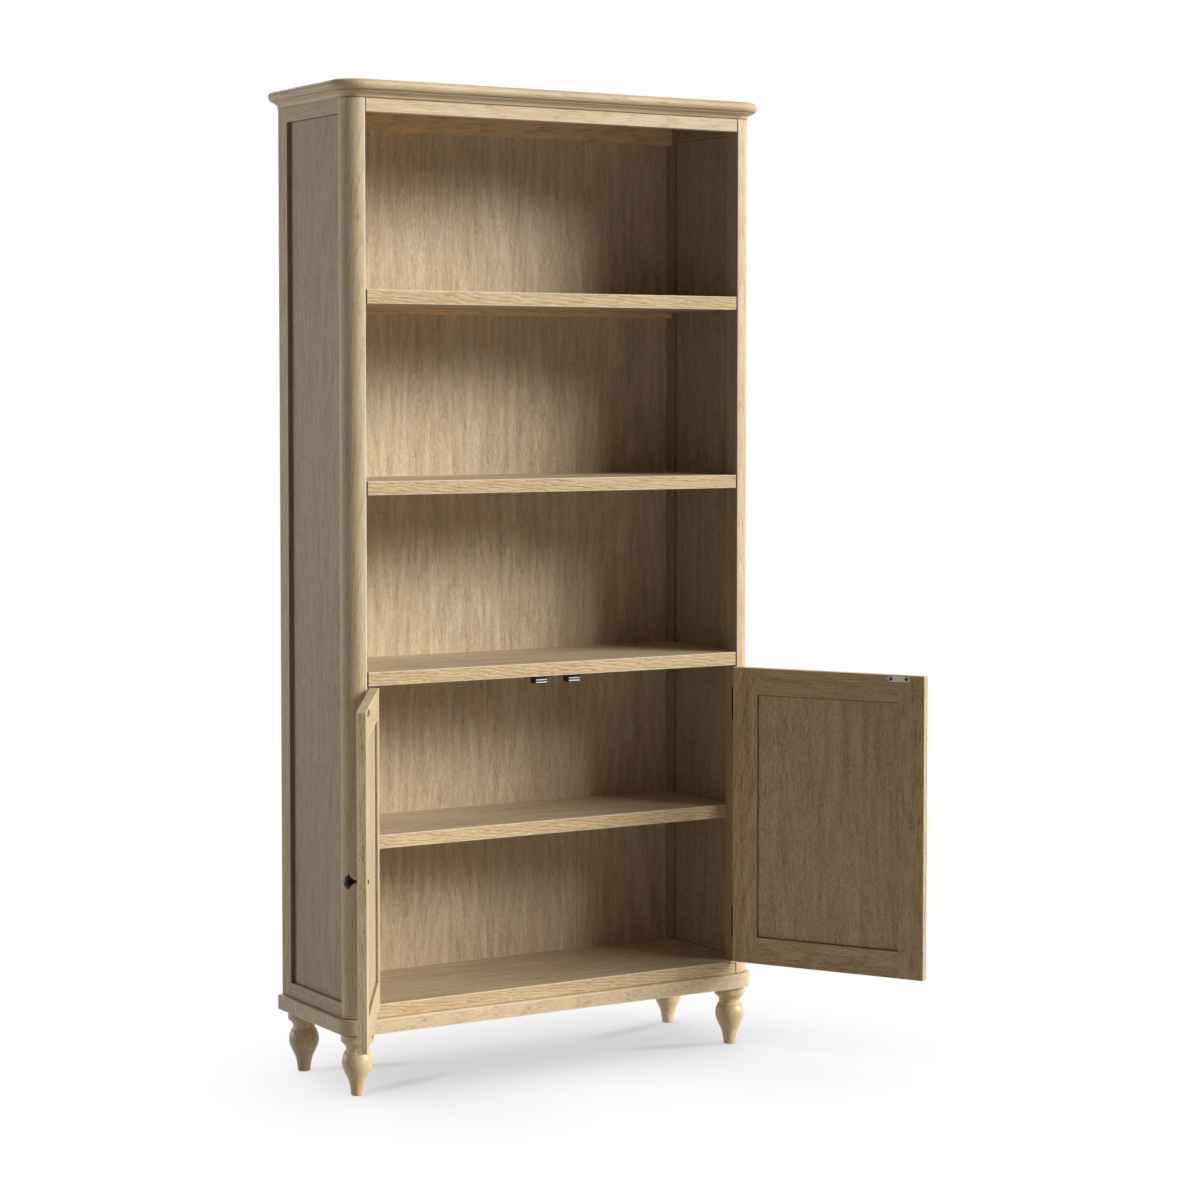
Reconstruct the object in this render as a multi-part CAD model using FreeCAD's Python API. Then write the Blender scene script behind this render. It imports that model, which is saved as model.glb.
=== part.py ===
import FreeCAD, Part
import math
import os

# A tall oak bookcase: three open bays over a cupboard with two framed doors, on a plinth with
# four turned feet. Millimetres, +X to the right seen from the front, +Y to the back, +Z up.
# Every piece is first placed with Y = 0 at the front face of the posts and the doors closed.
# Then the doors are swung open, and the whole moves along Y so that the origin lies on the
# floor at the centre of the box around the bookcase with its doors open.

# Case in plan
case_width = 904.0
case_depth = 297.0
corner_radius = 35.0
arris = 1.0

# Heights, from the floor up
foot_height = 120.0
plinth_height = 28.0
board_thickness = 26.0
cupboard_opening = 600.0
lower_bay = 330.0
middle_bay = 330.0
upper_bay = 328.0
front_rail_height = 26.0
cove_height = 12.0
top_thickness = 20.0

# Corner posts at the front
post_width = 37.5
post_depth = 37.0

# Framed sides
side_thickness = 22.0
rear_stile_width = 38.0
side_rail_height = 28.0
side_panel_thickness = 9.0
side_panel_recess = 8.0
groove_depth = 8.0
panel_play = 0.5

# Back
back_panel_thickness = 6.0
back_panel_recess = 3.0
back_rabbet_width = 8.0
back_panel_play = 1.0
rear_rail_height = 32.5
rear_rail_thickness = 20.0
rear_middle_rail_drop = 11.0

# Front rail and shelf ends
front_rail_thickness = 22.0
shelf_end_gap = 1.5
front_rail_end_gap = 0.75

# Loose shelf in the cupboard and its pins
inner_shelf_height = 287.0
inner_shelf_play = 1.0
pin_radius = 2.5
pin_depth = 6.5
pin_reach = 10.0
pin_collar_radius = 4.0
pin_collar_thickness = 1.5
pin_inset_y = 40.0

# Cornice and plinth mouldings, as overhangs from the case
cove_foot_overhang = 1.0
cove_top_overhang = 12.0
cove_fillet_height = 1.5
top_edge_overhang = 13.0
top_nose_overhang = 21.0
plinth_overhang = 9.6
plinth_edge_radius = 3.5
base_rail_width = 80.0

# Turned feet
foot_inset_x = 30.8
foot_inset_front = 33.5
foot_inset_rear = 31.0
foot_bulb_radius = 29.2
foot_collar_radius = 31.0
foot_collar_roll = 6.0
foot_bolt_radius = 4.0
foot_bolt_in_foot = 35.0
foot_bolt_in_base = 22.0

# The foot's outline as shares of the bulb's radius and of the foot's height
foot_tip_radius_share = 0.425
foot_tip_ease_share = 0.012
foot_lower_shares = (
    (0.435, 0.06), (0.535, 0.195), (0.65, 0.275), (0.815, 0.356), (0.94, 0.437),
    (1.0, 0.525), (0.96, 0.60), (0.865, 0.663))
foot_bead_shares = ((0.835, 0.663), (0.85, 0.677), (0.80, 0.693))
foot_neck_shares = ((0.765, 0.693), (0.73, 0.742), (0.80, 0.79), (0.975, 0.838))

# Fasteners
dowel_radius = 4.0
dowel_length = 28.0
fastener_play = 0.1
screw_radius = 1.5
screw_head_radius = 3.0
screw_head_height = 1.5
screw_point_height = 3.0
screw_length = 12.0

# Doors, with the gaps that set them apart from the case and from each other
door_thickness = 17.5
door_hinge_gap = 1.0
door_meeting_gap = 3.0
door_foot_gap = 3.0
door_head_gap = 2.5
door_frame_width = 53.0
door_panel_thickness = 7.0
door_arris = 1.0
door_rest_angle = 120.0

# Butt hinges
hinge_height = 65.0
hinge_from_door_end = 43.0
hinge_axis_reach = 2.8
knuckle_radius = 2.6
knuckle_count = 5
knuckle_play = 0.15
hinge_pin_radius = 1.3
hinge_running_play = 0.05
hinge_pin_head_height = 1.2
leaf_depth = 16.5
leaf_thickness = 1.2
leaf_sunk = 0.8
leaf_front_gap = 0.1
leaf_lap = 1.0
leaf_screw_spacing = 22.0
leaf_screw_y = 10.0

# Knobs, as a turned outline of radii and distances from the door's face
knob_from_edge = 24.5
knob_radius = 13.5
knob_reach = 25.2
knob_rim_reach = 16.5
knob_rim_roll = 3.0
knob_neck_radius = 3.2
knob_neck_reach = 5.0
knob_neck_bow = 0.5
knob_back_bow = 1.2
knob_base_radius = 5.5
knob_base_height = 1.2
knob_bolt_radius = 2.0
knob_bolt_head_radius = 4.5
knob_bolt_head_height = 2.2
knob_bolt_in_knob = 12.0

# Magnetic catches under the cupboard's top and their strike plates
catch_left_x = -28.0
catch_right_x = 46.0
catch_width = 26.0
catch_depth = 20.0
catch_height = 16.5
catch_flange_width = 58.0
catch_flange_depth = 14.0
catch_flange_thickness = 4.0
catch_corner_radius = 4.0
catch_screw_spacing = 44.0
pole_height = 2.0
pole_spacing = 4.8
pole_drop = 11.0
pole_proud = 0.8
pole_reach = 12.0
strike_gap = 0.4
strike_length = 46.5
strike_height = 11.0
strike_thickness = 1.2
strike_from_free_edge = 53.5
strike_drop = 7.0
strike_screw_spacing = 33.0
strike_screw_head_radius = 4.0

# Allowances for cuts and for picking edges
overrun = 5.0
touch = 0.01

# Places worked out from the sizes above
outer_x = case_width / 2
inner_x = outer_x - post_width
side_x = outer_x - side_thickness
panel_outer_x = outer_x - side_panel_recess
panel_inner_x = panel_outer_x - side_panel_thickness
corner_x = outer_x - corner_radius
stile_y = case_depth - rear_stile_width
back_y = case_depth - back_panel_recess - back_panel_thickness
rear_rail_y = back_y - rear_rail_thickness
case_foot_z = foot_height + plinth_height
cupboard_floor_z = case_foot_z + board_thickness
cupboard_top_z = cupboard_floor_z + cupboard_opening
middle_shelf_z = cupboard_top_z + board_thickness + lower_bay
upper_shelf_z = middle_shelf_z + board_thickness + middle_bay
front_rail_z = upper_shelf_z + board_thickness + upper_bay
case_top_z = front_rail_z + front_rail_height
cove_top_z = case_top_z + cove_height
total_height = cove_top_z + top_thickness
side_opening_foot_z = case_foot_z + side_rail_height
side_opening_top_z = case_top_z - side_rail_height
rear_middle_rail_z = upper_shelf_z - rear_middle_rail_drop
inner_shelf_z = cupboard_floor_z + inner_shelf_height
base_inner_y = case_depth - base_rail_width
base_inner_x = outer_x - base_rail_width
foot_x = outer_x - foot_inset_x
foot_front_y = foot_inset_front
foot_rear_y = case_depth - foot_inset_rear
door_edge_x = inner_x - door_hinge_gap
door_free_x = door_meeting_gap / 2
door_z = cupboard_floor_z + door_foot_gap
door_top_z = cupboard_top_z - door_head_gap
panel_y0 = (door_thickness - door_panel_thickness) / 2
panel_y1 = panel_y0 + door_panel_thickness
opening_x0 = door_free_x + door_frame_width
opening_x1 = door_edge_x - door_frame_width
opening_z0 = door_z + door_frame_width
opening_z1 = door_top_z - door_frame_width
hinge_x = inner_x - door_hinge_gap / 2
hinge_y = -hinge_axis_reach
hinge_zs = (door_z + hinge_from_door_end, door_top_z - hinge_from_door_end - hinge_height)

pieces = {}


def vec(x, y, z):
    """A point or a direction."""
    return FreeCAD.Vector(x, y, z)


def block(x0, x1, y0, y1, z0, z1):
    """A box between two corners."""
    return Part.makeBox(x1 - x0, y1 - y0, z1 - z0, vec(x0, y0, z0))


def rod(radius, length, start, direction):
    """A round bar from a start point along a direction."""
    return Part.makeCylinder(radius, length, start, direction)


def mirrored(shape):
    """The same piece on the other side of the middle plane."""
    return shape.mirror(vec(0, 0, 0), vec(1, 0, 0))


def eased(shape, lo, hi, radius):
    """Round the edges that lie wholly inside the box from lo to hi."""
    chosen = []
    for edge in shape.Edges:
        box = edge.BoundBox
        inside_x = box.XMin > lo.x - touch and box.XMax < hi.x + touch
        inside_y = box.YMin > lo.y - touch and box.YMax < hi.y + touch
        inside_z = box.ZMin > lo.z - touch and box.ZMax < hi.z + touch
        if inside_x and inside_y and inside_z:
            chosen.append(edge)
    return shape.makeFillet(radius, chosen)


def line(start, end):
    """A straight edge between two points."""
    return Part.makeLine(start, end)


def arc(start, middle, end):
    """A round edge through three points."""
    return Part.Arc(start, middle, end).toShape()


def hollow(start, end, bow):
    """A round edge in the XZ plane whose middle stands off its chord, to the left of travel."""
    chord = end - start
    offset = vec(-chord.z, 0, chord.x) * (bow / chord.Length)
    return arc(start, (start + end) / 2 + offset, end)


def face_of(edges):
    """A flat face inside a closed run of edges, given in order."""
    return Part.Face(Part.Wire(edges))


def turned(edges, centre, direction=vec(0, 0, 1)):
    """Turn a closed outline a full circle about an axis."""
    return face_of(edges).revolve(centre, direction, math.degrees(2 * math.pi))


def both_sides(name, shape):
    """Keep a right-hand piece and its mirror image."""
    pieces["right_" + name] = shape
    pieces["left_" + name] = mirrored(shape)


def moulded_slab(section):
    """A slab with a moulded edge on the front and both sides, and round front corners.

    The section is a face in the XZ plane whose X is the distance outwards from the centre of
    the corner's curve. The back edge is flush with the back of the case.
    """
    quarter = math.degrees(math.pi / 2)
    at_corner = section.copy()
    at_corner.translate(vec(corner_x, corner_radius, 0))
    side = at_corner.extrude(vec(0, case_depth - corner_radius, 0))
    corner = at_corner.revolve(vec(corner_x, corner_radius, 0), vec(0, 0, 1), -quarter)
    facing = at_corner.copy()
    facing.rotate(vec(corner_x, corner_radius, 0), vec(0, 0, 1), -quarter)
    front = facing.extrude(vec(-2 * corner_x, 0, 0))
    low = section.BoundBox.ZMin
    high = section.BoundBox.ZMax
    core = block(-corner_x, corner_x, corner_radius, case_depth, low, high)
    slab = core.multiFuse([front, side, corner, mirrored(side), mirrored(corner)])
    return slab.removeSplitter()


# Feet

def foot_point(shares):
    """A point of the foot's outline from its shares of radius and height."""
    return vec(shares[0] * foot_bulb_radius, 0, shares[1] * foot_height)


def smooth_run(points):
    """A smooth curve through points, in order."""
    curve = Part.BSplineCurve()
    curve.interpolate(points)
    return curve.toShape()


def foot_outline():
    """The turned outline: eased tip, swelling bulb, small bead, hollow neck and collar."""
    tip_radius = foot_tip_radius_share * foot_bulb_radius
    tip_ease = foot_tip_ease_share * foot_height
    lower = [foot_point(shares) for shares in foot_lower_shares]
    bead = [foot_point(shares) for shares in foot_bead_shares]
    neck = [foot_point(shares) for shares in foot_neck_shares]
    roll_lean = 1 - math.cos(math.pi / 4)
    roll_width = foot_collar_radius - neck[-1].x
    collar_low = neck[-1]
    collar_side = vec(foot_collar_radius, 0, collar_low.z + foot_collar_roll)
    collar_turn_x = foot_collar_radius - roll_width * roll_lean
    collar_turn = vec(collar_turn_x, 0, collar_low.z + foot_collar_roll * roll_lean)
    collar_up = vec(foot_collar_radius, 0, foot_height)
    return [
        line(vec(0, 0, 0), vec(tip_radius - tip_ease, 0, 0)),
        line(vec(tip_radius - tip_ease, 0, 0), vec(tip_radius, 0, tip_ease)),
        line(vec(tip_radius, 0, tip_ease), lower[0]),
        smooth_run(lower),
        line(lower[-1], bead[0]),
        arc(bead[0], bead[1], bead[2]),
        line(bead[2], neck[0]),
        smooth_run(neck),
        arc(collar_low, collar_turn, collar_side),
        line(collar_side, collar_up),
        line(collar_up, vec(0, 0, foot_height)),
        line(vec(0, 0, foot_height), vec(0, 0, 0)),
    ]


foot_places = {
    "front_right_foot": (foot_x, foot_front_y),
    "front_left_foot": (-foot_x, foot_front_y),
    "rear_right_foot": (foot_x, foot_rear_y),
    "rear_left_foot": (-foot_x, foot_rear_y),
}
foot_bolt_length = foot_bolt_in_foot + foot_bolt_in_base
foot_bolt_foot_z = foot_height - foot_bolt_in_foot
foot_bolts = []
foot_bolt_holes = []
for foot_name, (foot_at_x, foot_at_y) in foot_places.items():
    start = vec(foot_at_x, foot_at_y, foot_bolt_foot_z)
    below = vec(foot_at_x, foot_at_y, foot_bolt_foot_z - fastener_play)
    bolt = rod(foot_bolt_radius, foot_bolt_length, start, vec(0, 0, 1))
    hole_length = foot_bolt_length + 2 * fastener_play
    hole = rod(foot_bolt_radius + fastener_play, hole_length, below, vec(0, 0, 1))
    foot = turned(foot_outline(), vec(0, 0, 0))
    foot.translate(vec(foot_at_x, foot_at_y, 0))
    pieces[foot_name] = foot.cut(hole)
    foot_bolts.append(bolt)
    foot_bolt_holes.append(hole)
pieces["foot_bolts"] = Part.makeCompound(foot_bolts)


# Plinth

def plinth_section():
    """Upright edge with a rounded top arris."""
    reach = corner_radius + plinth_overhang
    lean = plinth_edge_radius * (1 - math.cos(math.pi / 4))
    round_start = vec(reach, 0, case_foot_z - plinth_edge_radius)
    round_middle = vec(reach - lean, 0, case_foot_z - lean)
    round_end = vec(reach - plinth_edge_radius, 0, case_foot_z)
    return face_of([
        line(vec(0, 0, foot_height), vec(reach, 0, foot_height)),
        line(vec(reach, 0, foot_height), round_start),
        arc(round_start, round_middle, round_end),
        line(round_end, vec(0, 0, case_foot_z)),
        line(vec(0, 0, case_foot_z), vec(0, 0, foot_height)),
    ])


plinth = moulded_slab(plinth_section())
plinth = plinth.cut(Part.makeCompound(foot_bolt_holes))
plinth_low_z = foot_height - overrun
plinth_high_z = case_foot_z + overrun
plinth_out_x = outer_x + plinth_overhang + overrun
plinth_out_y = -plinth_overhang - overrun
plinth_back_y = case_depth + overrun
pieces["base_front_rail"] = plinth.common(
    block(-plinth_out_x, plinth_out_x, plinth_out_y, base_rail_width, plinth_low_z, plinth_high_z))
pieces["base_rear_rail"] = plinth.common(
    block(-plinth_out_x, plinth_out_x, base_inner_y, plinth_back_y, plinth_low_z, plinth_high_z))
both_sides("base_rail", plinth.common(
    block(base_inner_x, plinth_out_x, base_rail_width, base_inner_y, plinth_low_z, plinth_high_z)))


# Framed sides: the corner post serves as the front stile

def side_whole():
    """Post, rear stile and both rails in one, with the panel's opening cut and eased."""
    post_start = vec(corner_x, 0, case_foot_z)
    post_end = vec(outer_x, corner_radius, case_foot_z)
    lean = corner_radius * math.sin(math.pi / 4)
    post_middle = vec(corner_x + lean, corner_radius - lean, case_foot_z)
    outline = [
        line(vec(inner_x, 0, case_foot_z), post_start),
        arc(post_start, post_middle, post_end),
        line(post_end, vec(outer_x, case_depth, case_foot_z)),
        line(vec(outer_x, case_depth, case_foot_z), vec(side_x, case_depth, case_foot_z)),
        line(vec(side_x, case_depth, case_foot_z), vec(side_x, post_depth, case_foot_z)),
        line(vec(side_x, post_depth, case_foot_z), vec(inner_x, post_depth, case_foot_z)),
        line(vec(inner_x, post_depth, case_foot_z), vec(inner_x, 0, case_foot_z)),
    ]
    whole = face_of(outline).extrude(vec(0, 0, case_top_z - case_foot_z))
    opening = block(
        side_x - overrun, outer_x + overrun, post_depth, stile_y, side_opening_foot_z, side_opening_top_z)
    whole = whole.cut(opening)
    opening_lo = vec(outer_x, post_depth, side_opening_foot_z)
    opening_hi = vec(outer_x, stile_y, side_opening_top_z)
    whole = eased(whole, opening_lo, opening_hi, arris)
    return eased(whole, vec(inner_x, 0, case_foot_z), vec(inner_x, 0, case_top_z), arris)


def side_member(whole, y0, y1, z0, z1):
    """The part of the framed side between two depths and two heights."""
    return whole.common(block(inner_x - overrun, outer_x + overrun, y0, y1, z0, z1))


def side_rail(whole, z0, z1, groove_z0, groove_z1):
    """A side rail with a stub tenon at each end and the panel's groove in its inner edge."""
    rail = side_member(whole, post_depth, stile_y, z0, z1)
    tenon_length = groove_depth - panel_play
    tenon_y0 = post_depth - tenon_length
    tenon_y1 = stile_y + tenon_length
    tenons = block(panel_inner_x, panel_outer_x, tenon_y0, tenon_y1, z0, z1)
    groove = block(panel_inner_x, panel_outer_x, tenon_y0, tenon_y1, groove_z0, groove_z1)
    return rail.fuse(tenons).cut(groove).removeSplitter()


whole_side = side_whole()
panel_tongue = groove_depth - panel_play
post_groove = block(
    panel_inner_x, panel_outer_x, post_depth - groove_depth, post_depth, case_foot_z, case_top_z)
stile_groove = block(panel_inner_x, panel_outer_x, stile_y, stile_y + groove_depth, case_foot_z, case_top_z)
back_rabbet = block(
    side_x, side_x + back_rabbet_width, back_y, case_depth, case_foot_z, case_top_z)
right_post = side_member(whole_side, 0, post_depth, case_foot_z, case_top_z).cut(post_groove)
right_stile = side_member(whole_side, stile_y, case_depth, case_foot_z, case_top_z)
right_stile = right_stile.cut(stile_groove).cut(back_rabbet)
both_sides("side_top_rail", side_rail(
    whole_side, side_opening_top_z, case_top_z, side_opening_top_z, side_opening_top_z + groove_depth))
both_sides("side_bottom_rail", side_rail(
    whole_side, case_foot_z, side_opening_foot_z, side_opening_foot_z - groove_depth, side_opening_foot_z))
right_side_panel = block(
    panel_inner_x, panel_outer_x,
    post_depth - panel_tongue, stile_y + panel_tongue,
    side_opening_foot_z - panel_tongue, side_opening_top_z + panel_tongue)


# Shelf pins, in holes of the side panels

pin_ys = (post_depth + pin_inset_y, stile_y - pin_inset_y)
pin_z = inner_shelf_z - pin_radius
pin_end_x = side_x - pin_reach
pin_root_x = panel_inner_x + pin_depth
shelf_pins = []
for pin_y in pin_ys:
    shank = rod(pin_radius, pin_root_x - pin_end_x, vec(pin_end_x, pin_y, pin_z), vec(1, 0, 0))
    collar_start = vec(panel_inner_x - pin_collar_thickness, pin_y, pin_z)
    collar = rod(pin_collar_radius, pin_collar_thickness, collar_start, vec(1, 0, 0))
    hole_mouth = vec(panel_inner_x, pin_y, pin_z)
    pin_hole = rod(pin_radius + fastener_play, pin_depth + fastener_play, hole_mouth, vec(1, 0, 0))
    right_side_panel = right_side_panel.cut(pin_hole)
    shelf_pins.append(shank.fuse(collar))
both_sides("side_panel", right_side_panel)
pieces["shelf_pins"] = Part.makeCompound(shelf_pins + [mirrored(pin) for pin in shelf_pins])


# Boards and shelves

def notched_board(z0, rear_y):
    """A fixed board, flush with the posts in front and wider behind them."""
    nose_x = inner_x - shelf_end_gap
    z1 = z0 + board_thickness
    body = block(-side_x, side_x, post_depth, rear_y, z0, z1)
    nose = block(-nose_x, nose_x, 0, post_depth, z0, z1)
    board = body.fuse(nose).removeSplitter()
    return eased(board, vec(-nose_x, 0, z0), vec(nose_x, 0, z1), arris)


pieces["bottom_board"] = notched_board(case_foot_z, back_y)
pieces["cupboard_top"] = notched_board(cupboard_top_z, back_y)
pieces["middle_shelf"] = notched_board(middle_shelf_z, back_y)
pieces["upper_shelf"] = notched_board(upper_shelf_z, rear_rail_y)

inner_shelf_x = side_x - inner_shelf_play
inner_shelf_front_y = post_depth + inner_shelf_play
inner_shelf_top_z = inner_shelf_z + board_thickness
inner_shelf = block(
    -inner_shelf_x, inner_shelf_x, inner_shelf_front_y, back_y - inner_shelf_play,
    inner_shelf_z, inner_shelf_top_z)
pieces["inner_shelf"] = eased(
    inner_shelf, vec(-inner_shelf_x, inner_shelf_front_y, inner_shelf_z),
    vec(inner_shelf_x, inner_shelf_front_y, inner_shelf_top_z), arris)


# Rails across the front and the back

front_rail_x = inner_x - front_rail_end_gap
front_rail = block(-front_rail_x, front_rail_x, 0, front_rail_thickness, front_rail_z, case_top_z)
pieces["front_top_rail"] = eased(
    front_rail, vec(-front_rail_x, 0, front_rail_z), vec(front_rail_x, 0, front_rail_z), arris)
pieces["rear_top_rail"] = block(
    -side_x, side_x, rear_rail_y, back_y, case_top_z - rear_rail_height, case_top_z)
pieces["rear_middle_rail"] = block(
    -side_x, side_x, rear_rail_y, back_y, rear_middle_rail_z, rear_middle_rail_z + rear_rail_height)


# Back panels, meeting on the rear middle rail

back_panel_x = side_x + back_rabbet_width - panel_play
back_joint_z = rear_middle_rail_z + rear_rail_height / 2
back_rear_y = back_y + back_panel_thickness
pieces["lower_back_panel"] = block(
    -back_panel_x, back_panel_x, back_y, back_rear_y,
    case_foot_z + back_panel_play, back_joint_z - back_panel_play / 2)
pieces["upper_back_panel"] = block(
    -back_panel_x, back_panel_x, back_y, back_rear_y,
    back_joint_z + back_panel_play / 2, case_top_z - back_panel_play)


# Cornice: a board with a hollow edge under a top with a round nose

def cove_section():
    """A quarter hollow rising outwards, with a narrow upright fillet above it."""
    foot_reach = corner_radius + cove_foot_overhang
    top_reach = corner_radius + cove_top_overhang
    hollow_z = cove_top_z - cove_fillet_height
    width = top_reach - foot_reach
    height = hollow_z - case_top_z
    middle_x = top_reach - width * math.cos(math.pi / 4)
    middle_z = case_top_z + height * math.sin(math.pi / 4)
    return face_of([
        line(vec(0, 0, case_top_z), vec(foot_reach, 0, case_top_z)),
        arc(vec(foot_reach, 0, case_top_z), vec(middle_x, 0, middle_z), vec(top_reach, 0, hollow_z)),
        line(vec(top_reach, 0, hollow_z), vec(top_reach, 0, cove_top_z)),
        line(vec(top_reach, 0, cove_top_z), vec(0, 0, cove_top_z)),
        line(vec(0, 0, cove_top_z), vec(0, 0, case_top_z)),
    ])


def nose_section():
    """A slab edge that bulges in one arc from the lower arris to the upper."""
    edge_reach = corner_radius + top_edge_overhang
    nose = vec(corner_radius + top_nose_overhang, 0, cove_top_z + top_thickness / 2)
    low = vec(edge_reach, 0, cove_top_z)
    high = vec(edge_reach, 0, total_height)
    return face_of([
        line(vec(0, 0, cove_top_z), low),
        arc(low, nose, high),
        line(high, vec(0, 0, total_height)),
        line(vec(0, 0, total_height), vec(0, 0, cove_top_z)),
    ])


pieces["cornice_board"] = moulded_slab(cove_section())
pieces["top_board"] = moulded_slab(nose_section())


# Dowels: each lies half in one piece and half in its neighbour

board_mid_zs = {
    "bottom_board": case_foot_z + board_thickness / 2,
    "cupboard_top": cupboard_top_z + board_thickness / 2,
    "middle_shelf": middle_shelf_z + board_thickness / 2,
    "upper_shelf": upper_shelf_z + board_thickness / 2,
}
stile_core_y = (stile_y + groove_depth + back_y) / 2
dowel_side_step = dowel_radius * 3 / 2
rear_dowel_y = stile_core_y - dowel_side_step
stile_foot_dowel_y = stile_core_y + dowel_side_step
front_rail_mid_z = case_top_z - front_rail_height / 2
post_dowel_x = (inner_x + side_x) / 2
base_dowel_x = outer_x - base_rail_width / 2
stile_dowel_x = outer_x - side_thickness / 2
right_joints = []
for board_mid_z in board_mid_zs.values():
    right_joints.append((vec(post_dowel_x, post_depth, board_mid_z), vec(0, 1, 0)))
for board_name in ("bottom_board", "cupboard_top", "middle_shelf"):
    right_joints.append((vec(side_x, rear_dowel_y, board_mid_zs[board_name]), vec(1, 0, 0)))
right_joints.append((vec(side_x / 2, rear_rail_y, board_mid_zs["upper_shelf"]), vec(0, 1, 0)))
right_joints.append((vec(inner_x, front_rail_thickness / 2, front_rail_mid_z), vec(1, 0, 0)))
right_joints.append((vec(side_x, rear_dowel_y, case_top_z - rear_rail_height / 2), vec(1, 0, 0)))
right_joints.append((vec(side_x, rear_dowel_y, back_joint_z), vec(1, 0, 0)))
right_joints.append((vec(post_dowel_x, post_depth / 2, case_foot_z), vec(0, 0, 1)))
right_joints.append((vec(stile_dowel_x, stile_foot_dowel_y, case_foot_z), vec(0, 0, 1)))
right_joints.append((vec(base_dowel_x, base_rail_width, foot_height + plinth_height / 2), vec(0, 1, 0)))
right_joints.append((vec(base_dowel_x, base_inner_y, foot_height + plinth_height / 2), vec(0, 1, 0)))
dowels = []
dowel_holes = []
for place, direction in right_joints:
    half_dowel = dowel_length / 2
    start = place - direction * half_dowel
    hole_start = place - direction * (half_dowel + fastener_play)
    dowel = rod(dowel_radius, dowel_length, start, direction)
    hole = rod(dowel_radius + fastener_play, dowel_length + 2 * fastener_play, hole_start, direction)
    dowels.extend([dowel, mirrored(dowel)])
    dowel_holes.extend([hole, mirrored(hole)])
pieces["dowels"] = Part.makeCompound(dowels)
dowel_bores = Part.makeCompound(dowel_holes)


# Screws: a countersunk head, a shank and a point, driven along a direction

def screw_outline(play, head_radius):
    """Half outline of a screw from the flat of its head to its point, along +Z."""
    head = head_radius + play
    shank = screw_radius + play
    point_z = screw_length - screw_point_height
    return [
        line(vec(0, 0, 0), vec(head, 0, 0)),
        line(vec(head, 0, 0), vec(shank, 0, screw_head_height)),
        line(vec(shank, 0, screw_head_height), vec(shank, 0, point_z)),
        line(vec(shank, 0, point_z), vec(0, 0, screw_length + play)),
        line(vec(0, 0, screw_length + play), vec(0, 0, 0)),
    ]


def screw(head_centre, direction, play=0.0, head_radius=screw_head_radius):
    """A screw, or with some play the hole for it."""
    shape = turned(screw_outline(play, head_radius), vec(0, 0, 0))
    shape.Placement = FreeCAD.Placement(head_centre, FreeCAD.Rotation(vec(0, 0, 1), direction))
    return shape


# Hinges: knuckles on one axis, odd ones on the post's leaf and even ones on the door's leaf

def knuckle(z0, z1):
    """A short tube on the hinge's axis."""
    bore_radius = hinge_pin_radius + hinge_running_play
    outer = rod(knuckle_radius, z1 - z0, vec(hinge_x, hinge_y, z0), vec(0, 0, 1))
    bore = rod(bore_radius, z1 - z0, vec(hinge_x, hinge_y, z0), vec(0, 0, 1))
    return outer.cut(bore)


def hinge_leaf(plate_x0, first, hinge_z):
    """A leaf: its plate, and every second knuckle with a short strap to the plate."""
    plate_x1 = plate_x0 + leaf_thickness
    leaf = block(plate_x0, plate_x1, leaf_front_gap, leaf_depth, hinge_z, hinge_z + hinge_height)
    pitch = hinge_height / knuckle_count
    bore_radius = hinge_pin_radius + hinge_running_play
    bore = rod(bore_radius, hinge_height, vec(hinge_x, hinge_y, hinge_z), vec(0, 0, 1))
    for index in range(first, knuckle_count, 2):
        z0 = hinge_z + index * pitch + knuckle_play / 2
        z1 = z0 + pitch - knuckle_play
        strap = block(plate_x0, plate_x1, hinge_y + knuckle_radius - leaf_lap, leaf_front_gap, z0, z1)
        leaf = leaf.fuse(strap).fuse(knuckle(z0, z1))
    return leaf.cut(bore).removeSplitter()


def leaf_screw_places(x, hinge_z):
    """Three screw heads up the middle of a leaf."""
    middle_z = hinge_z + hinge_height / 2
    return [vec(x, leaf_screw_y, middle_z + step * leaf_screw_spacing) for step in (-1, 0, 1)]


def hinge_pin(hinge_z):
    """A pin through all knuckles, with a button on each end."""
    top_z = hinge_z + hinge_height
    shank = rod(hinge_pin_radius, hinge_height, vec(hinge_x, hinge_y, hinge_z), vec(0, 0, 1))
    upper = rod(knuckle_radius, hinge_pin_head_height, vec(hinge_x, hinge_y, top_z), vec(0, 0, 1))
    lower = rod(knuckle_radius, hinge_pin_head_height, vec(hinge_x, hinge_y, hinge_z), vec(0, 0, -1))
    return shank.fuse([upper, lower])


post_leaf_x = inner_x + leaf_sunk - leaf_thickness
door_leaf_x = door_edge_x - leaf_sunk
post_leaves = []
door_leaves = []
hinge_pins = []
post_screws = []
door_screws = []
for hinge_z in hinge_zs:
    post_leaf = hinge_leaf(post_leaf_x, 0, hinge_z)
    door_leaf = hinge_leaf(door_leaf_x, 1, hinge_z)
    post_recess = block(inner_x, post_leaf_x + leaf_thickness, 0, leaf_depth, hinge_z, hinge_z + hinge_height)
    right_post = right_post.cut(post_recess)
    for place in leaf_screw_places(post_leaf_x, hinge_z):
        hole = screw(place, vec(1, 0, 0), fastener_play)
        post_leaf = post_leaf.cut(hole)
        right_post = right_post.cut(hole)
        post_screws.append(screw(place, vec(1, 0, 0)))
    for place in leaf_screw_places(door_leaf_x + leaf_thickness, hinge_z):
        door_leaf = door_leaf.cut(screw(place, vec(-1, 0, 0), fastener_play))
        door_screws.append((place, vec(-1, 0, 0)))
    post_leaves.append(post_leaf)
    door_leaves.append(door_leaf)
    hinge_pins.append(hinge_pin(hinge_z))
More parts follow.
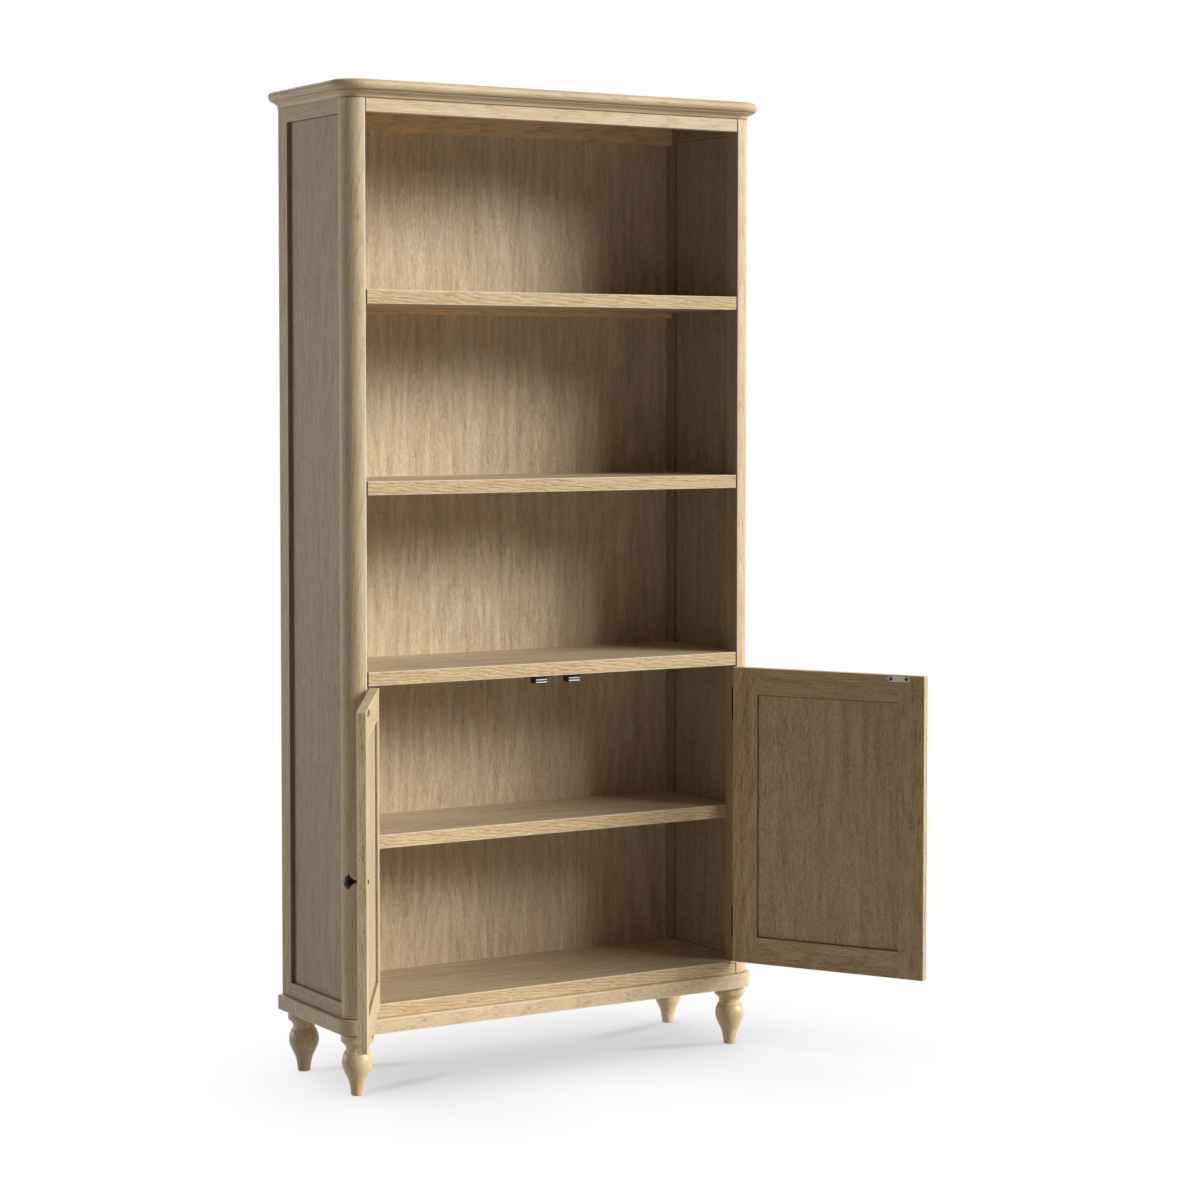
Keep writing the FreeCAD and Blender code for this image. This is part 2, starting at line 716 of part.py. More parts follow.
pieces["frame_hinge_leaves"] = Part.makeCompound(post_leaves + [mirrored(leaf) for leaf in post_leaves])
pieces["hinge_pins"] = Part.makeCompound(hinge_pins + [mirrored(pin) for pin in hinge_pins])
both_sides("front_post", right_post)
both_sides("rear_stile", right_stile)


# Magnetic catches, screwed up under the cupboard's top

catch_face_y = door_thickness + strike_thickness + strike_gap + pole_proud
pole_z = cupboard_top_z - pole_drop
case_screws = post_screws + [mirrored(one) for one in post_screws]
catch_poles = []
for catch_name, catch_x in (("left_catch", catch_left_x), ("right_catch", catch_right_x)):
    housing = block(
        catch_x - catch_width / 2, catch_x + catch_width / 2, catch_face_y, catch_face_y + catch_depth,
        cupboard_top_z - catch_height, cupboard_top_z)
    rear_edges_lo = vec(catch_x - catch_width / 2, catch_face_y + catch_depth, cupboard_top_z - catch_height)
    rear_edges_hi = vec(catch_x + catch_width / 2, catch_face_y + catch_depth, cupboard_top_z - catch_height)
    housing = eased(housing, rear_edges_lo, rear_edges_hi, catch_corner_radius)
    flange_y = catch_face_y + (catch_depth - catch_flange_depth) / 2
    flange = block(
        catch_x - catch_flange_width / 2, catch_x + catch_flange_width / 2,
        flange_y, flange_y + catch_flange_depth,
        cupboard_top_z - catch_flange_thickness, cupboard_top_z)
    catch = housing.fuse(flange).removeSplitter()
    for side in (-1, 1):
        pole_centre_z = pole_z + side * pole_spacing / 2
        pole = block(
            catch_x - catch_width / 2 + pole_proud, catch_x + catch_width / 2 - pole_proud,
            catch_face_y - pole_proud, catch_face_y + pole_reach,
            pole_centre_z - pole_height / 2, pole_centre_z + pole_height / 2)
        catch = catch.cut(pole)
        catch_poles.append(pole)
        screw_place = vec(
            catch_x + side * catch_screw_spacing / 2, flange_y + catch_flange_depth / 2,
            cupboard_top_z - catch_flange_thickness)
        screw_hole = screw(screw_place, vec(0, 0, 1), fastener_play)
        catch = catch.cut(screw_hole)
        pieces["cupboard_top"] = pieces["cupboard_top"].cut(screw_hole)
        case_screws.append(screw(screw_place, vec(0, 0, 1)))
    pieces[catch_name] = catch
pieces["catch_poles"] = Part.makeCompound(catch_poles)
pieces["case_screws"] = Part.makeCompound(case_screws)

for doweled_name in (
        "bottom_board", "cupboard_top", "middle_shelf", "upper_shelf", "front_top_rail", "rear_top_rail",
        "rear_middle_rail", "base_front_rail", "base_rear_rail", "right_base_rail", "left_base_rail",
        "right_front_post", "left_front_post", "right_rear_stile", "left_rear_stile"):
    pieces[doweled_name] = pieces[doweled_name].cut(dowel_bores)


# Doors, modelled closed on the right-hand side

def door_whole():
    """Both stiles and both rails in one, with the panel's opening cut and all arrises eased."""
    whole = block(door_free_x, door_edge_x, 0, door_thickness, door_z, door_top_z)
    opening = block(opening_x0, opening_x1, -overrun, door_thickness + overrun, opening_z0, opening_z1)
    whole = whole.cut(opening)
    for face_y in (0, door_thickness):
        whole = eased(
            whole, vec(door_free_x, face_y, door_z), vec(door_edge_x, face_y, door_top_z), door_arris)
    return whole


def door_member(x0, x1, z0, z1):
    """The part of the door's frame between two widths and two heights."""
    return whole_door.common(block(x0, x1, -overrun, door_thickness + overrun, z0, z1))


def door_rail(z0, z1, groove_z0, groove_z1):
    """A door rail with a stub tenon at each end and the panel's groove in its inner edge."""
    rail = door_member(opening_x0, opening_x1, z0, z1)
    tenon_x0 = opening_x0 - panel_tongue
    tenon_x1 = opening_x1 + panel_tongue
    tenon_z0 = z0 + groove_depth
    tenon_z1 = z1 - groove_depth
    tenons = block(tenon_x0, tenon_x1, panel_y0, panel_y1, tenon_z0, tenon_z1)
    groove = block(tenon_x0, tenon_x1, panel_y0, panel_y1, groove_z0, groove_z1)
    return rail.fuse(tenons).cut(groove).removeSplitter()


def knob_outline():
    """Half outline of the knob along its axis: base, waist, hollow back, rolled rim and dome.

    The dome is a sphere centred on the axis that touches the rim's roll from inside, so the
    distance between the two centres is the dome's radius less the roll's.
    """
    roll_x = knob_radius - knob_rim_roll
    roll_reach = knob_reach - knob_rim_roll
    dome_z = (roll_reach ** 2 - roll_x ** 2 - knob_rim_reach ** 2) / (2 * (roll_reach - knob_rim_reach))
    dome_radius = knob_reach - dome_z
    dome_turn = math.atan2(roll_x, knob_rim_reach - dome_z)
    lean = knob_rim_roll * math.sin(math.pi / 4)
    base_rim = vec(knob_base_radius, 0, knob_base_height)
    waist = vec(knob_neck_radius, 0, knob_neck_reach)
    rim_back = vec(roll_x + lean, 0, knob_rim_reach - lean)
    rim = vec(knob_radius, 0, knob_rim_reach)
    shoulder = vec(dome_radius * math.sin(dome_turn), 0, dome_z + dome_radius * math.cos(dome_turn))
    half_turn = dome_turn / 2
    dome_side = vec(dome_radius * math.sin(half_turn), 0, dome_z + dome_radius * math.cos(half_turn))
    crown = vec(0, 0, knob_reach)
    return [
        line(vec(0, 0, 0), vec(knob_base_radius, 0, 0)),
        line(vec(knob_base_radius, 0, 0), base_rim),
        hollow(base_rim, waist, knob_neck_bow),
        hollow(waist, rim_back, knob_back_bow),
        arc(rim_back, rim, shoulder),
        arc(shoulder, dome_side, crown),
        line(crown, vec(0, 0, 0)),
    ]


whole_door = door_whole()
stile_grooves = block(
    opening_x0 - groove_depth, opening_x1 + groove_depth, panel_y0, panel_y1,
    door_z + groove_depth, door_top_z - groove_depth)
hinge_stile = door_member(opening_x1, door_edge_x, door_z, door_top_z).cut(stile_grooves)
meeting_stile = door_member(door_free_x, opening_x0, door_z, door_top_z).cut(stile_grooves)
for hinge_z in hinge_zs:
    hinge_stile = hinge_stile.cut(
        block(door_leaf_x, door_edge_x, 0, leaf_depth, hinge_z, hinge_z + hinge_height))
for place, direction in door_screws:
    hinge_stile = hinge_stile.cut(screw(place, direction, fastener_play))

strike_centre_x = door_free_x + strike_from_free_edge
strike_z = door_top_z - strike_drop
strike_face_y = door_thickness + strike_thickness
strike_half = strike_length / 2
strike_plate = block(
    strike_centre_x - strike_half, strike_centre_x + strike_half, door_thickness, strike_face_y,
    strike_z - strike_height / 2, strike_z + strike_height / 2)
top_rail = door_rail(opening_z1, door_top_z, opening_z1, opening_z1 + groove_depth)
strike_ends = []
for edge in strike_plate.Edges:
    if abs(edge.BoundBox.YLength - strike_thickness) < touch:
        strike_ends.append(edge)
strike_plate = strike_plate.makeFillet(strike_height / 2 - touch, strike_ends)
strike_screws = []
for side in (-1, 1):
    strike_screw_place = vec(strike_centre_x + side * strike_screw_spacing / 2, strike_face_y, strike_z)
    strike_screws.append((strike_screw_place, vec(0, -1, 0)))
for place, direction in strike_screws:
    screw_hole = screw(place, direction, fastener_play, strike_screw_head_radius)
    strike_plate = strike_plate.cut(screw_hole)
    top_rail = top_rail.cut(screw_hole)
    meeting_stile = meeting_stile.cut(screw_hole)

knob_x = door_free_x + knob_from_edge
knob_z = (door_z + door_top_z) / 2
knob_face = vec(knob_x, 0, knob_z)
knob_bolt_end = vec(knob_x, -knob_bolt_in_knob, knob_z)
knob_bolt_length = knob_bolt_in_knob + door_thickness
knob = turned(knob_outline(), vec(0, 0, 0))
knob.Placement = FreeCAD.Placement(knob_face, FreeCAD.Rotation(vec(0, 0, 1), vec(0, -1, 0)))
knob_bore_start = knob_bolt_end - vec(0, fastener_play, 0)
knob_bore = rod(
    knob_bolt_radius + fastener_play, knob_bolt_length + 2 * fastener_play, knob_bore_start, vec(0, 1, 0))
knob_bolt = rod(knob_bolt_radius, knob_bolt_length, knob_bolt_end, vec(0, 1, 0))
knob_bolt_head = rod(
    knob_bolt_head_radius, knob_bolt_head_height, vec(knob_x, door_thickness, knob_z), vec(0, 1, 0))
knob = knob.cut(knob_bore)
meeting_stile = meeting_stile.cut(knob_bore)
all_door_screws = [screw(place, direction) for place, direction in door_screws]
for place, direction in strike_screws:
    all_door_screws.append(screw(place, direction, head_radius=strike_screw_head_radius))

right_door = {
    "hinge_stile": hinge_stile,
    "meeting_stile": meeting_stile,
    "door_top_rail": top_rail,
    "door_bottom_rail": door_rail(door_z, opening_z0, opening_z0 - groove_depth, opening_z0),
    "door_panel": block(
        opening_x0 - panel_tongue, opening_x1 + panel_tongue, panel_y0, panel_y1,
        opening_z0 - panel_tongue, opening_z1 + panel_tongue),
    "door_hinge_leaves": Part.makeCompound(door_leaves),
    "door_screws": Part.makeCompound(all_door_screws),
    "knob": knob,
    "knob_bolt": knob_bolt.fuse(knob_bolt_head),
    "strike_plate": strike_plate,
}
for door_piece_name, door_piece in right_door.items():
    swung = door_piece.copy()
    swung.rotate(vec(hinge_x, hinge_y, 0), vec(0, 0, 1), door_rest_angle)
    both_sides(door_piece_name, swung)


# The open doors reach furthest forward at their free inner corners
rest_turn = math.radians(door_rest_angle)
free_arm = hinge_x - door_free_x
inner_face_arm = door_thickness - hinge_y
door_reach = -hinge_y + free_arm * math.sin(rest_turn) - inner_face_arm * math.cos(rest_turn)
front_plane_y = (door_reach - case_depth) / 2

os.makedirs("parts", exist_ok=True)
for name, shape in pieces.items():
    placed = shape.copy()
    placed.translate(vec(0, front_plane_y, 0))
    if not placed.isValid():
        raise ValueError(name + " is not a valid shape")
    placed.exportStep(os.path.join("parts", name + ".step"))
print(len(pieces), "pieces; front plane at Y =", round(front_plane_y, 3), "total height", total_height)
print("hinge axis at X =", hinge_x, "Y =", round(front_plane_y + hinge_y, 3))
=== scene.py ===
"""Looks of a tall washed-oak bookcase with a cupboard below, on turned feet.

Units are metres in the shared frame: +X to the right seen from the front, +Y to the back, +Z up.
Sizes of a pattern or a detail are written in millimetres and turned to metres by MM.
"""
import logging
import math
from dataclasses import dataclass, replace
from enum import Enum

import bpy
import numpy as np
from mathutils import Matrix, Vector

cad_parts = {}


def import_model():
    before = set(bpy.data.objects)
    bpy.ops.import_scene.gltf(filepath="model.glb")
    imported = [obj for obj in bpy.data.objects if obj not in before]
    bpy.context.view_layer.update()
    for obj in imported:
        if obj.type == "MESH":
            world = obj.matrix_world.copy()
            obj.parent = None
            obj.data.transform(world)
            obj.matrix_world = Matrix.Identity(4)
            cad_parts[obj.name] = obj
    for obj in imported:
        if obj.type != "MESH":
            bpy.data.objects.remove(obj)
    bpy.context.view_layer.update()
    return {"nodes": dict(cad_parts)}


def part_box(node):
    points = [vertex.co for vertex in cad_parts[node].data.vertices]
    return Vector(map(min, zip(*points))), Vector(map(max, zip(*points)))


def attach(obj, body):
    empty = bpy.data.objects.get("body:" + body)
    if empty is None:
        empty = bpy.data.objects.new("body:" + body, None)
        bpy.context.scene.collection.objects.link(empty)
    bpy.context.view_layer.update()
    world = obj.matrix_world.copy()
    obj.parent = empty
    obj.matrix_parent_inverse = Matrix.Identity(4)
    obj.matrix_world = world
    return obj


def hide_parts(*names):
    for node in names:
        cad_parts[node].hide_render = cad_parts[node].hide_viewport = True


log = logging.getLogger("bookcase")

Pair = tuple[float, float]
Triple = tuple[float, float, float]
Tree = bpy.types.NodeTree
Node = bpy.types.Node
Socket = bpy.types.NodeSocket

MM = 0.001
WHITE = "#FFFFFF"
FOOT_NAMES = ("front_right_foot", "front_left_foot", "rear_right_foot", "rear_left_foot")
SHARP_ANGLE = math.radians(35.0)


def linear(colour: str) -> tuple[float, float, float, float]:
    """Turn an sRGB hex colour to linear light.

    Args:
        colour: six hex digits after a hash sign.

    Returns:
        Red, green and blue in linear light, and an alpha of 1.
    """
    parts = np.array([int(colour[i:i + 2], 16) for i in (1, 3, 5)]) / 255.0
    light = np.where(parts <= 0.04045, parts / 12.92, ((parts + 0.055) / 1.055) ** 2.4)
    return (*light.tolist(), 1.0)


def add(tree: Tree, kind: str, inputs: dict | tuple = (), operation: str = "", **settings: object) -> Node:
    """Add a node with its values, links and settings.

    Args:
        tree: the node tree that gets the node.
        kind: the node's type name, without the ShaderNode before it.
        inputs: the inputs in their order, or by name or number. Each is a value, a node's output, or a
            node for its first output.
        operation: what a Math or a Vector Math node works out.
        settings: the node's own attributes.

    Returns:
        The new node.
    """
    node = tree.nodes.new(kind if kind.startswith("NodeGroup") else f"ShaderNode{kind}")
    if operation:
        node.operation = operation
    for name, value in settings.items():
        setattr(node, name, value)
    for key, value in inputs.items() if isinstance(inputs, dict) else enumerate(inputs):
        source = value.outputs[0] if isinstance(value, Node) else value
        if isinstance(source, Socket):
            tree.links.new(source, node.inputs[key])
        else:
            node.inputs[key].default_value = source
    return node


def blank(owner: bpy.types.Material | bpy.types.World) -> Tree:
    """Give a material or a world an empty node tree.

    Args:
        owner: the material or the world.

    Returns:
        The empty tree.
    """
    owner.use_nodes = True
    owner.node_tree.nodes.clear()
    return owner.node_tree


def new_group(name: str, inputs: dict[str, str], outputs: dict[str, str]) -> Tree:
    """Make a node group with its sockets.

    Args:
        name: the group's name.
        inputs: the kind of each input by its name.
        outputs: the kind of each output by its name.

    Returns:
        The group's empty node tree.
    """
    group = bpy.data.node_groups.new(name, "ShaderNodeTree")
    for way, sockets in (("INPUT", inputs), ("OUTPUT", outputs)):
        for socket, kind in sockets.items():
            group.interface.new_socket(socket, in_out=way, socket_type=f"NodeSocket{kind}")
    return group


def into_scene(name: str, data: bpy.types.ID) -> bpy.types.Object:
    """Put a mesh, a lamp or a camera into the scene.

    Args:
        name: the new object's name.
        data: the mesh, the lamp or the camera.

    Returns:
        The object that holds it.
    """
    thing = bpy.data.objects.new(name, data)
    bpy.context.scene.collection.objects.link(thing)
    return thing


def foot_middle(name: str) -> Vector:
    """The middle of a foot's sole."""
    low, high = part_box(name)
    return Vector(((low.x + high.x) / 2, (low.y + high.y) / 2, low.z))


def fade_in(tree: Tree, value: object, fade: Pair, share: float = 1.0) -> Node:
    """Smooth step over a fade.

    Args:
        tree: the node tree.
        value: what is faded in.
        fade: the values where the step starts and ends.
        share: how high the step is.

    Returns:
        The node that gives 0 where the step starts and the share where it ends.
    """
    return add(tree, "MapRange", {
        "Value": value, "From Min": fade[0], "From Max": fade[1], "To Max": share},
        interpolation_type="SMOOTHSTEP")


def cover(tree: Tree, colour: object, over: str, value: object, fade: Pair, share: float = 1.0) -> Socket:
    """Lay one colour over another where a value has come through its fade.

    Args:
        tree: the node tree.
        colour: the colour below.
        over: the hex colour on top.
        value: what fades it in.
        fade: the values at which the top colour starts and is full.
        share: how much of it shows where it is full.

    Returns:
        The joined colour.
    """
    reach = fade_in(tree, value, fade, share)
    return add(tree, "Mix", {0: reach, 6: colour, 7: linear(over)}, data_type="RGBA").outputs[2]


def arc(centre: Pair, radius: float, start: float, end: float, samples: int) -> np.ndarray:
    """Points of an arc in a turned outline.

    Each point is the centre plus the radius times the sine and cosine of its angle.

    Args:
        centre: radius and reach of the arc's centre.
        radius: the arc's own radius.
        start: first angle from the axis in degrees.
        end: last angle from the axis in degrees.
        samples: how many points.

    Returns:
        One row of radius and reach for each point.
    """
    angles = np.radians(np.linspace(start, end, samples))
    return np.array(centre) + radius * np.stack([np.sin(angles), np.cos(angles)], axis=1)


def smooth_run(points: np.ndarray, samples: int) -> np.ndarray:
    """Points of a smooth curve through given points.

    The curve is a natural cubic spline over the summed chord lengths. Its bends at the inner points
    solve one tridiagonal system, and each span blends its two end points and their bends.

    Args:
        points: one row for each point.
        samples: how many points come back.

    Returns:
        One row for each sample.
    """
    steps = np.linalg.norm(np.diff(points, axis=0), axis=1)
    at = np.concatenate([[0.0], np.cumsum(steps)])
    inner = np.arange(1, len(points) - 1)
    system = np.eye(len(points))
    system[inner, inner - 1] = steps[:-1]
    system[inner, inner] = 2 * (steps[:-1] + steps[1:])
    system[inner, inner + 1] = steps[1:]
    turns = np.zeros_like(points)
    turns[1:-1] = 6 * np.diff(np.diff(points, axis=0) / steps[:, None], axis=0)
    bends = np.linalg.solve(system, turns)
    where = np.linspace(0.0, at[-1], samples)
    span = np.clip(np.searchsorted(at, where, side="right") - 1, 0, len(steps) - 1)
    length = steps[span][:, None]
    since = where[:, None] - at[span][:, None]
    left = length - since
    curved = (bends[span] * left ** 3 + bends[span + 1] * since ** 3) / (6 * length)
    low = (points[span] / length - bends[span] * length / 6) * left
    high = (points[span + 1] / length - bends[span + 1] * length / 6) * since
    return curved + low + high


def turned_piece(name: str, outline_mm: np.ndarray, sides: int, placing: Matrix) -> bpy.types.Object:
    """A closed surface turned about an axis, such as a foot or a knob.

    Each ring's points lie at radius * cos(turn), radius * sin(turn) and the outline's reach. The
    outline's first and last points lie on the axis and close the poles with fans.

    Args:
        name: the object's name.
        outline_mm: one row of radius and reach for each point, from the lowest reach up.
        sides: points around the axis.
        placing: moves the piece from the upright axis to its place.

    Returns:
        The object, at the origin with its place in its mesh.
    """
    turns = np.arange(sides) * 2 * np.pi / sides
    radius, reach = outline_mm[1:-1].T * MM
    rings = np.stack([
        np.outer(radius, np.cos(turns)), np.outer(radius, np.sin(turns)),
        np.repeat(reach[:, None], sides, axis=1)], axis=2).reshape(-1, 3)
    poles = np.array([[0.0, 0.0, reach_mm * MM] for reach_mm in outline_mm[[0, -1], 1]])
    index = np.arange(len(rings)).reshape(-1, sides)
    ahead = np.roll(index, -1, axis=1)
    quads = np.stack([index[:-1], ahead[:-1], ahead[1:], index[1:]], axis=2).reshape(-1, 4)
    low_fan = np.stack([ahead[0], index[0], np.full(sides, len(rings))], axis=1)
    high_fan = np.stack([index[-1], ahead[-1], np.full(sides, len(rings) + 1)], axis=1)
    mesh = bpy.data.meshes.new(name)
    points = np.concatenate([rings, poles]).tolist()
    mesh.from_pydata(points, [], quads.tolist() + low_fan.tolist() + high_fan.tolist())
    mesh.shade_smooth()
    mesh.set_sharp_from_angle(angle=SHARP_ANGLE)
    mesh.transform(placing)
    log.info("%s with %d faces", name, len(mesh.polygons))
    return into_scene(name, mesh)


class Lay(Enum):
    """How the grain lies in a piece: the axes across it, through it and along it."""

    UPRIGHT_FRONT = ((1, 0, 0), (0, 1, 0), (0, 0, 1))
    UPRIGHT_SIDE = ((0, 1, 0), (-1, 0, 0), (0, 0, 1))
    ACROSS_FRONT = ((0, 0, 1), (0, -1, 0), (1, 0, 0))
    ACROSS_TOP = ((0, 1, 0), (0, 0, 1), (1, 0, 0))
    DEEP_SIDE = ((0, 0, 1), (1, 0, 0), (0, 1, 0))


class Side(Enum):
    """A face of a board: the axis that it faces along, and which way."""

    LEFT = (0, -1)
    RIGHT = (0, 1)
    FRONT = (1, -1)
    BACK = (1, 1)
    FOOT = (2, -1)
    TOP = (2, 1)


ENDS = (Side.LEFT, Side.RIGHT)
DEEP_ENDS = (Side.FRONT, Side.BACK)
UPRIGHT_ENDS = (Side.TOP, Side.FOOT)


@dataclass(frozen=True)
class Seam:
    """The thin dark line where two pieces meet, drawn as wide as its shadow, so partly painted shade.

    It fades between its wide and its narrow distance from the joined faces, and ends at its reach
    behind the front, or runs the whole depth where the reach is 0. The joined faces may lie tucked
    into a groove along each axis.
    """

    wide_mm: float
    narrow_mm: float
    share: float
    reach_mm: float = 0.0
    sides: tuple[Side, ...] = ()
    tucked_mm: Triple = (0.0, 0.0, 0.0)
    colour: str = "#3A2C1E"

    def at(self, *sides: Side, tucked_mm: Triple = (0.0, 0.0, 0.0)) -> "Seam":
        """The same line on the faces of a piece."""
        return replace(self, sides=sides, tucked_mm=tucked_mm)


# Each seam below is a dark joint widened into painted shade.
FINE_SEAM = Seam(1.9, 0.9, 0.65)
OPEN_SEAM = Seam(2.2, 1.0, 0.9)
BOARD_SEAM = Seam(2.2, 1.0, 0.9, 37.0)
PANEL_SEAM = Seam(3.0, 1.2, 0.75)
CORNICE_SEAM = Seam(2.2, 0.9, 0.42)
FOOT_SEAM = Seam(3.4, 1.6, 0.8)
BASE_SEAM = Seam(3.0, 1.4, 0.8)
# Painted shade on the wall of a frame beside its sunk panel, which the panel shades
PANEL_WALL_SHADE = Seam(0.8, 0.4, 0.48)
# Painted shade on the inner faces of the case's right end, greyer and darker than its outside
INNER_FRAME_SHADE = Seam(1.0, 0.5, 0.5, sides=(Side.LEFT,), colour="#46525C")
INNER_PANEL_SHADE = Seam(1.0, 0.5, 0.38, sides=(Side.LEFT,), colour="#46606F")


@dataclass(frozen=True)
class Oak:
    """Solid oak, planed, limed with a pale wash and lacquered satin.

    The eye sees pale straw wood with short fine streaks along the grain, faint bands, dark open
    pores, others that hold pale lime, and pale arrises, which are rubbed lime and a painted highlight
    where the edges catch the light. Real pores are 0.2 mm wide, too fine to show, so the dashes are
    drawn 1.6 mm wide.
    """

    name: str = "washed_solid_oak"
    dark: str = "#B08E63"
    middle: str = "#E2C79E"
    light: str = "#F8EAD0"
    lime: str = "#F8EBD2"
    pore: str = "#9A7A50"
    warm: str = "#FFF9EC"
    cool: str = "#FBFCFF"
    lean: float = 0.06
    ring_pitch_mm: float = 6.0
    ring_depth: float = 0.12
    line_share: float = 0.15
    fibre_mm: Pair = (1.6, 14.0)
    fibre_depth: float = 0.8
    streak_mm: Pair = (3.0, 200.0)
    streak_depth: float = 0.5
    band_mm: Pair = (14.0, 160.0)
    band_depth: float = 0.35
    broad_mm: Pair = (50.0, 400.0)
    broad_depth: float = 0.2
    tint_mm: Pair = (9.0, 70.0)
    ripple_mm: Pair = (14.0, 26.0)
    ripple_reach_mm: float = 1.0
    dash_mm: Pair = (1.6, 22.0)
    lime_share: float = 0.45
    pore_share: float = 0.4
    arris_lime_and_highlight: float = 0.75
    arris_mm: float = 2.2
    roughness: float = 0.50
    specular: float = 0.4
    leaf_width_mm: float = 0.0


OAK = Oak()
# The same oak on the left post, paler as painted light on its rounded front, with its inner arris
# wider and nearly white: rubbed lime and a painted highlight.
POST_OAK = replace(
    OAK, name="washed_post_oak", middle="#EED5AC", lime="#FFF3DD", streak_mm=(3.0, 110.0), lime_share=0.3,
    arris_lime_and_highlight=0.95, arris_mm=3.4)
# The stiles and rails of the framed sides are from a slightly browner board.
SIDE_OAK = replace(
    OAK, name="washed_side_oak", dark="#997C57", middle="#C4A97D", light="#DCCBAB", streak_mm=(3.0, 110.0))
# The plinth's oak has short fine grain, an even tone and many small pale flecks.
BASE_OAK = replace(
    OAK, name="washed_base_oak", middle="#E6CBA3", fibre_mm=(1.6, 12.0), fibre_depth=1.0,
    streak_mm=(3.0, 45.0), band_depth=0.12, broad_depth=0.12, dash_mm=(1.8, 12.0), lime_share=0.6,
    pore_share=0.25)
# The front rail and the cornice are quarter-sawn, with long straight fine grain.
RAIL_OAK = replace(
    OAK, name="washed_rail_oak", fibre_mm=(1.3, 40.0), fibre_depth=0.75, band_depth=0.25)
# The boards' front edges are golden solid oak, with crisp pale growth rings that zigzag along them.
SHELF_OAK = replace(
    OAK, name="washed_edge_oak", dark="#A88457", middle="#D0B07E", light="#EBD3A8", lime="#FFF3DA",
    pore="#9A774A", lean=0.1, ring_pitch_mm=6.2, ring_depth=0.5, line_share=0.85, ripple_mm=(20.0, 42.0),
    ripple_reach_mm=11.0, fibre_mm=(1.6, 24.0), fibre_depth=0.75, streak_mm=(3.2, 60.0), lime_share=0.3,
    pore_share=0.25)
# The right door's frame is solid oak, livelier and browner than the case, and darker as painted
# shade, since it stands turned away from the light.
DOOR_OAK = replace(
    OAK, name="washed_door_oak", dark="#957857", middle="#D0B791", light="#E8D7B8", lime="#E6CE9C",
    pore="#80623D", arris_mm=3.0, fibre_mm=(1.5, 9.0), fibre_depth=1.5, streak_mm=(3.0, 60.0),
    streak_depth=0.8, band_depth=0.5)
# The left door's frame is paler than the right's as painted light, since it stands turned to the light.
PALE_DOOR_OAK = replace(
    DOOR_OAK, name="washed_pale_door_oak", dark="#A3845C", middle="#E2C89D", light="#F5E4C4",
    lime="#F8E8CA")
# The feet's oak is turned on a lathe, with smooth quiet grain and a satin sheen.
TURNED_OAK = replace(
    OAK, name="washed_turned_oak", middle="#EBCF9E", fibre_depth=0.5, arris_lime_and_highlight=0.0, roughness=0.35,
    specular=0.55)
# The back panels are sliced oak veneer, in leaves side by side, duller than solid oak.
BACK_VENEER = replace(
    OAK, name="washed_oak_veneer", dark="#9C886E", middle="#D0B999", light="#F1E2CA", lime="#F6ECDA",
    pore="#937A5C", warm="#FFFAF0", cool="#F6FBFF", lean=0.035, fibre_mm=(1.2, 9.0), fibre_depth=0.95,
    streak_mm=(3.5, 36.0), streak_depth=0.4, band_depth=0.5, lime_share=0.4, pore_share=0.3,
    arris_lime_and_highlight=0.0, roughness=0.55, specular=0.3, leaf_width_mm=210.0)
# The veneer on the boards' upper and lower faces has long grain along them.
BOARD_VENEER = replace(
    BACK_VENEER, name="washed_board_veneer", dark="#9A8467", middle="#CAB394", light="#E6D6BC",
    fibre_mm=(1.5, 30.0), fibre_depth=0.9, streak_mm=(4.0, 160.0), leaf_width_mm=0.0)
# The veneer of the side panels has longer streaks and a quieter ground.
SIDE_VENEER = replace(
    BACK_VENEER, name="washed_side_veneer", dark="#978063", middle="#C4AB85", light="#E4D1B0",
    fibre_mm=(1.4, 16.0), fibre_depth=1.35, streak_mm=(3.5, 90.0), band_depth=0.45)
# The veneer of the door panels has short lively grain.
DOOR_VENEER = replace(
    BACK_VENEER, name="washed_door_veneer", dark="#A0886A", middle="#D3BB9A", light="#F3E3CA",
    cool="#F9FCFF", fibre_mm=(1.4, 7.0), fibre_depth=1.7, streak_mm=(3.5, 30.0))
# The rear rails are plain unfinished pine, light brown, straight in the grain, with a dull sawn surface.
PINE = replace(
    OAK, name="plain_pine", dark="#AA875D", middle="#F0D0A4", light="#F6DDB6", lime="#F4D9AE",
    pore="#A67C48", fibre_mm=(1.6, 40.0), fibre_depth=0.9, streak_mm=(5.0, 50.0), streak_depth=0.8,
    lime_share=0.1, pore_share=0.2, arris_lime_and_highlight=0.0, roughness=0.75, specular=0.3)


@dataclass(frozen=True)
class MetalFinish:
    """A metal or plastic fitting's finish, with a fine mottle of tone and roughness."""

    name: str
    colour: str
    worn: str
    metallic: float
    roughness: float
    grit_mm: float
    bump: float = 0.05


# Dark bronze is cast brass, blackened and rubbed back a little where hands touch it.
DARK_BRONZE = MetalFinish("blackened_brass", "#1D1A18", "#3A332C", 0.85, 0.34, 2.5)
# Antiqued steel is pressed sheet, chemically blackened, with a dull grey bloom.
ANTIQUED_STEEL = MetalFinish("antiqued_steel", "#1A1714", "#2E2A25", 0.9, 0.45, 1.5)
# Dark screw steel is cold-headed wire with a black oil finish.
SCREW_STEEL = MetalFinish("oiled_screw_steel", "#34322F", "#5A5751", 0.9, 0.42, 1.0)
# Blued steel is a domed bolt head, dark with a bright glint.
BLUED_STEEL = MetalFinish("blued_steel", "#565452", "#7C7A77", 1.0, 0.22, 2.0)
# Zinc-plated steel is bright and slightly cloudy.
ZINC_STEEL = MetalFinish("zinc_plated_steel", "#D9D8D4", "#A6A6A3", 1.0, 0.35, 2.0)
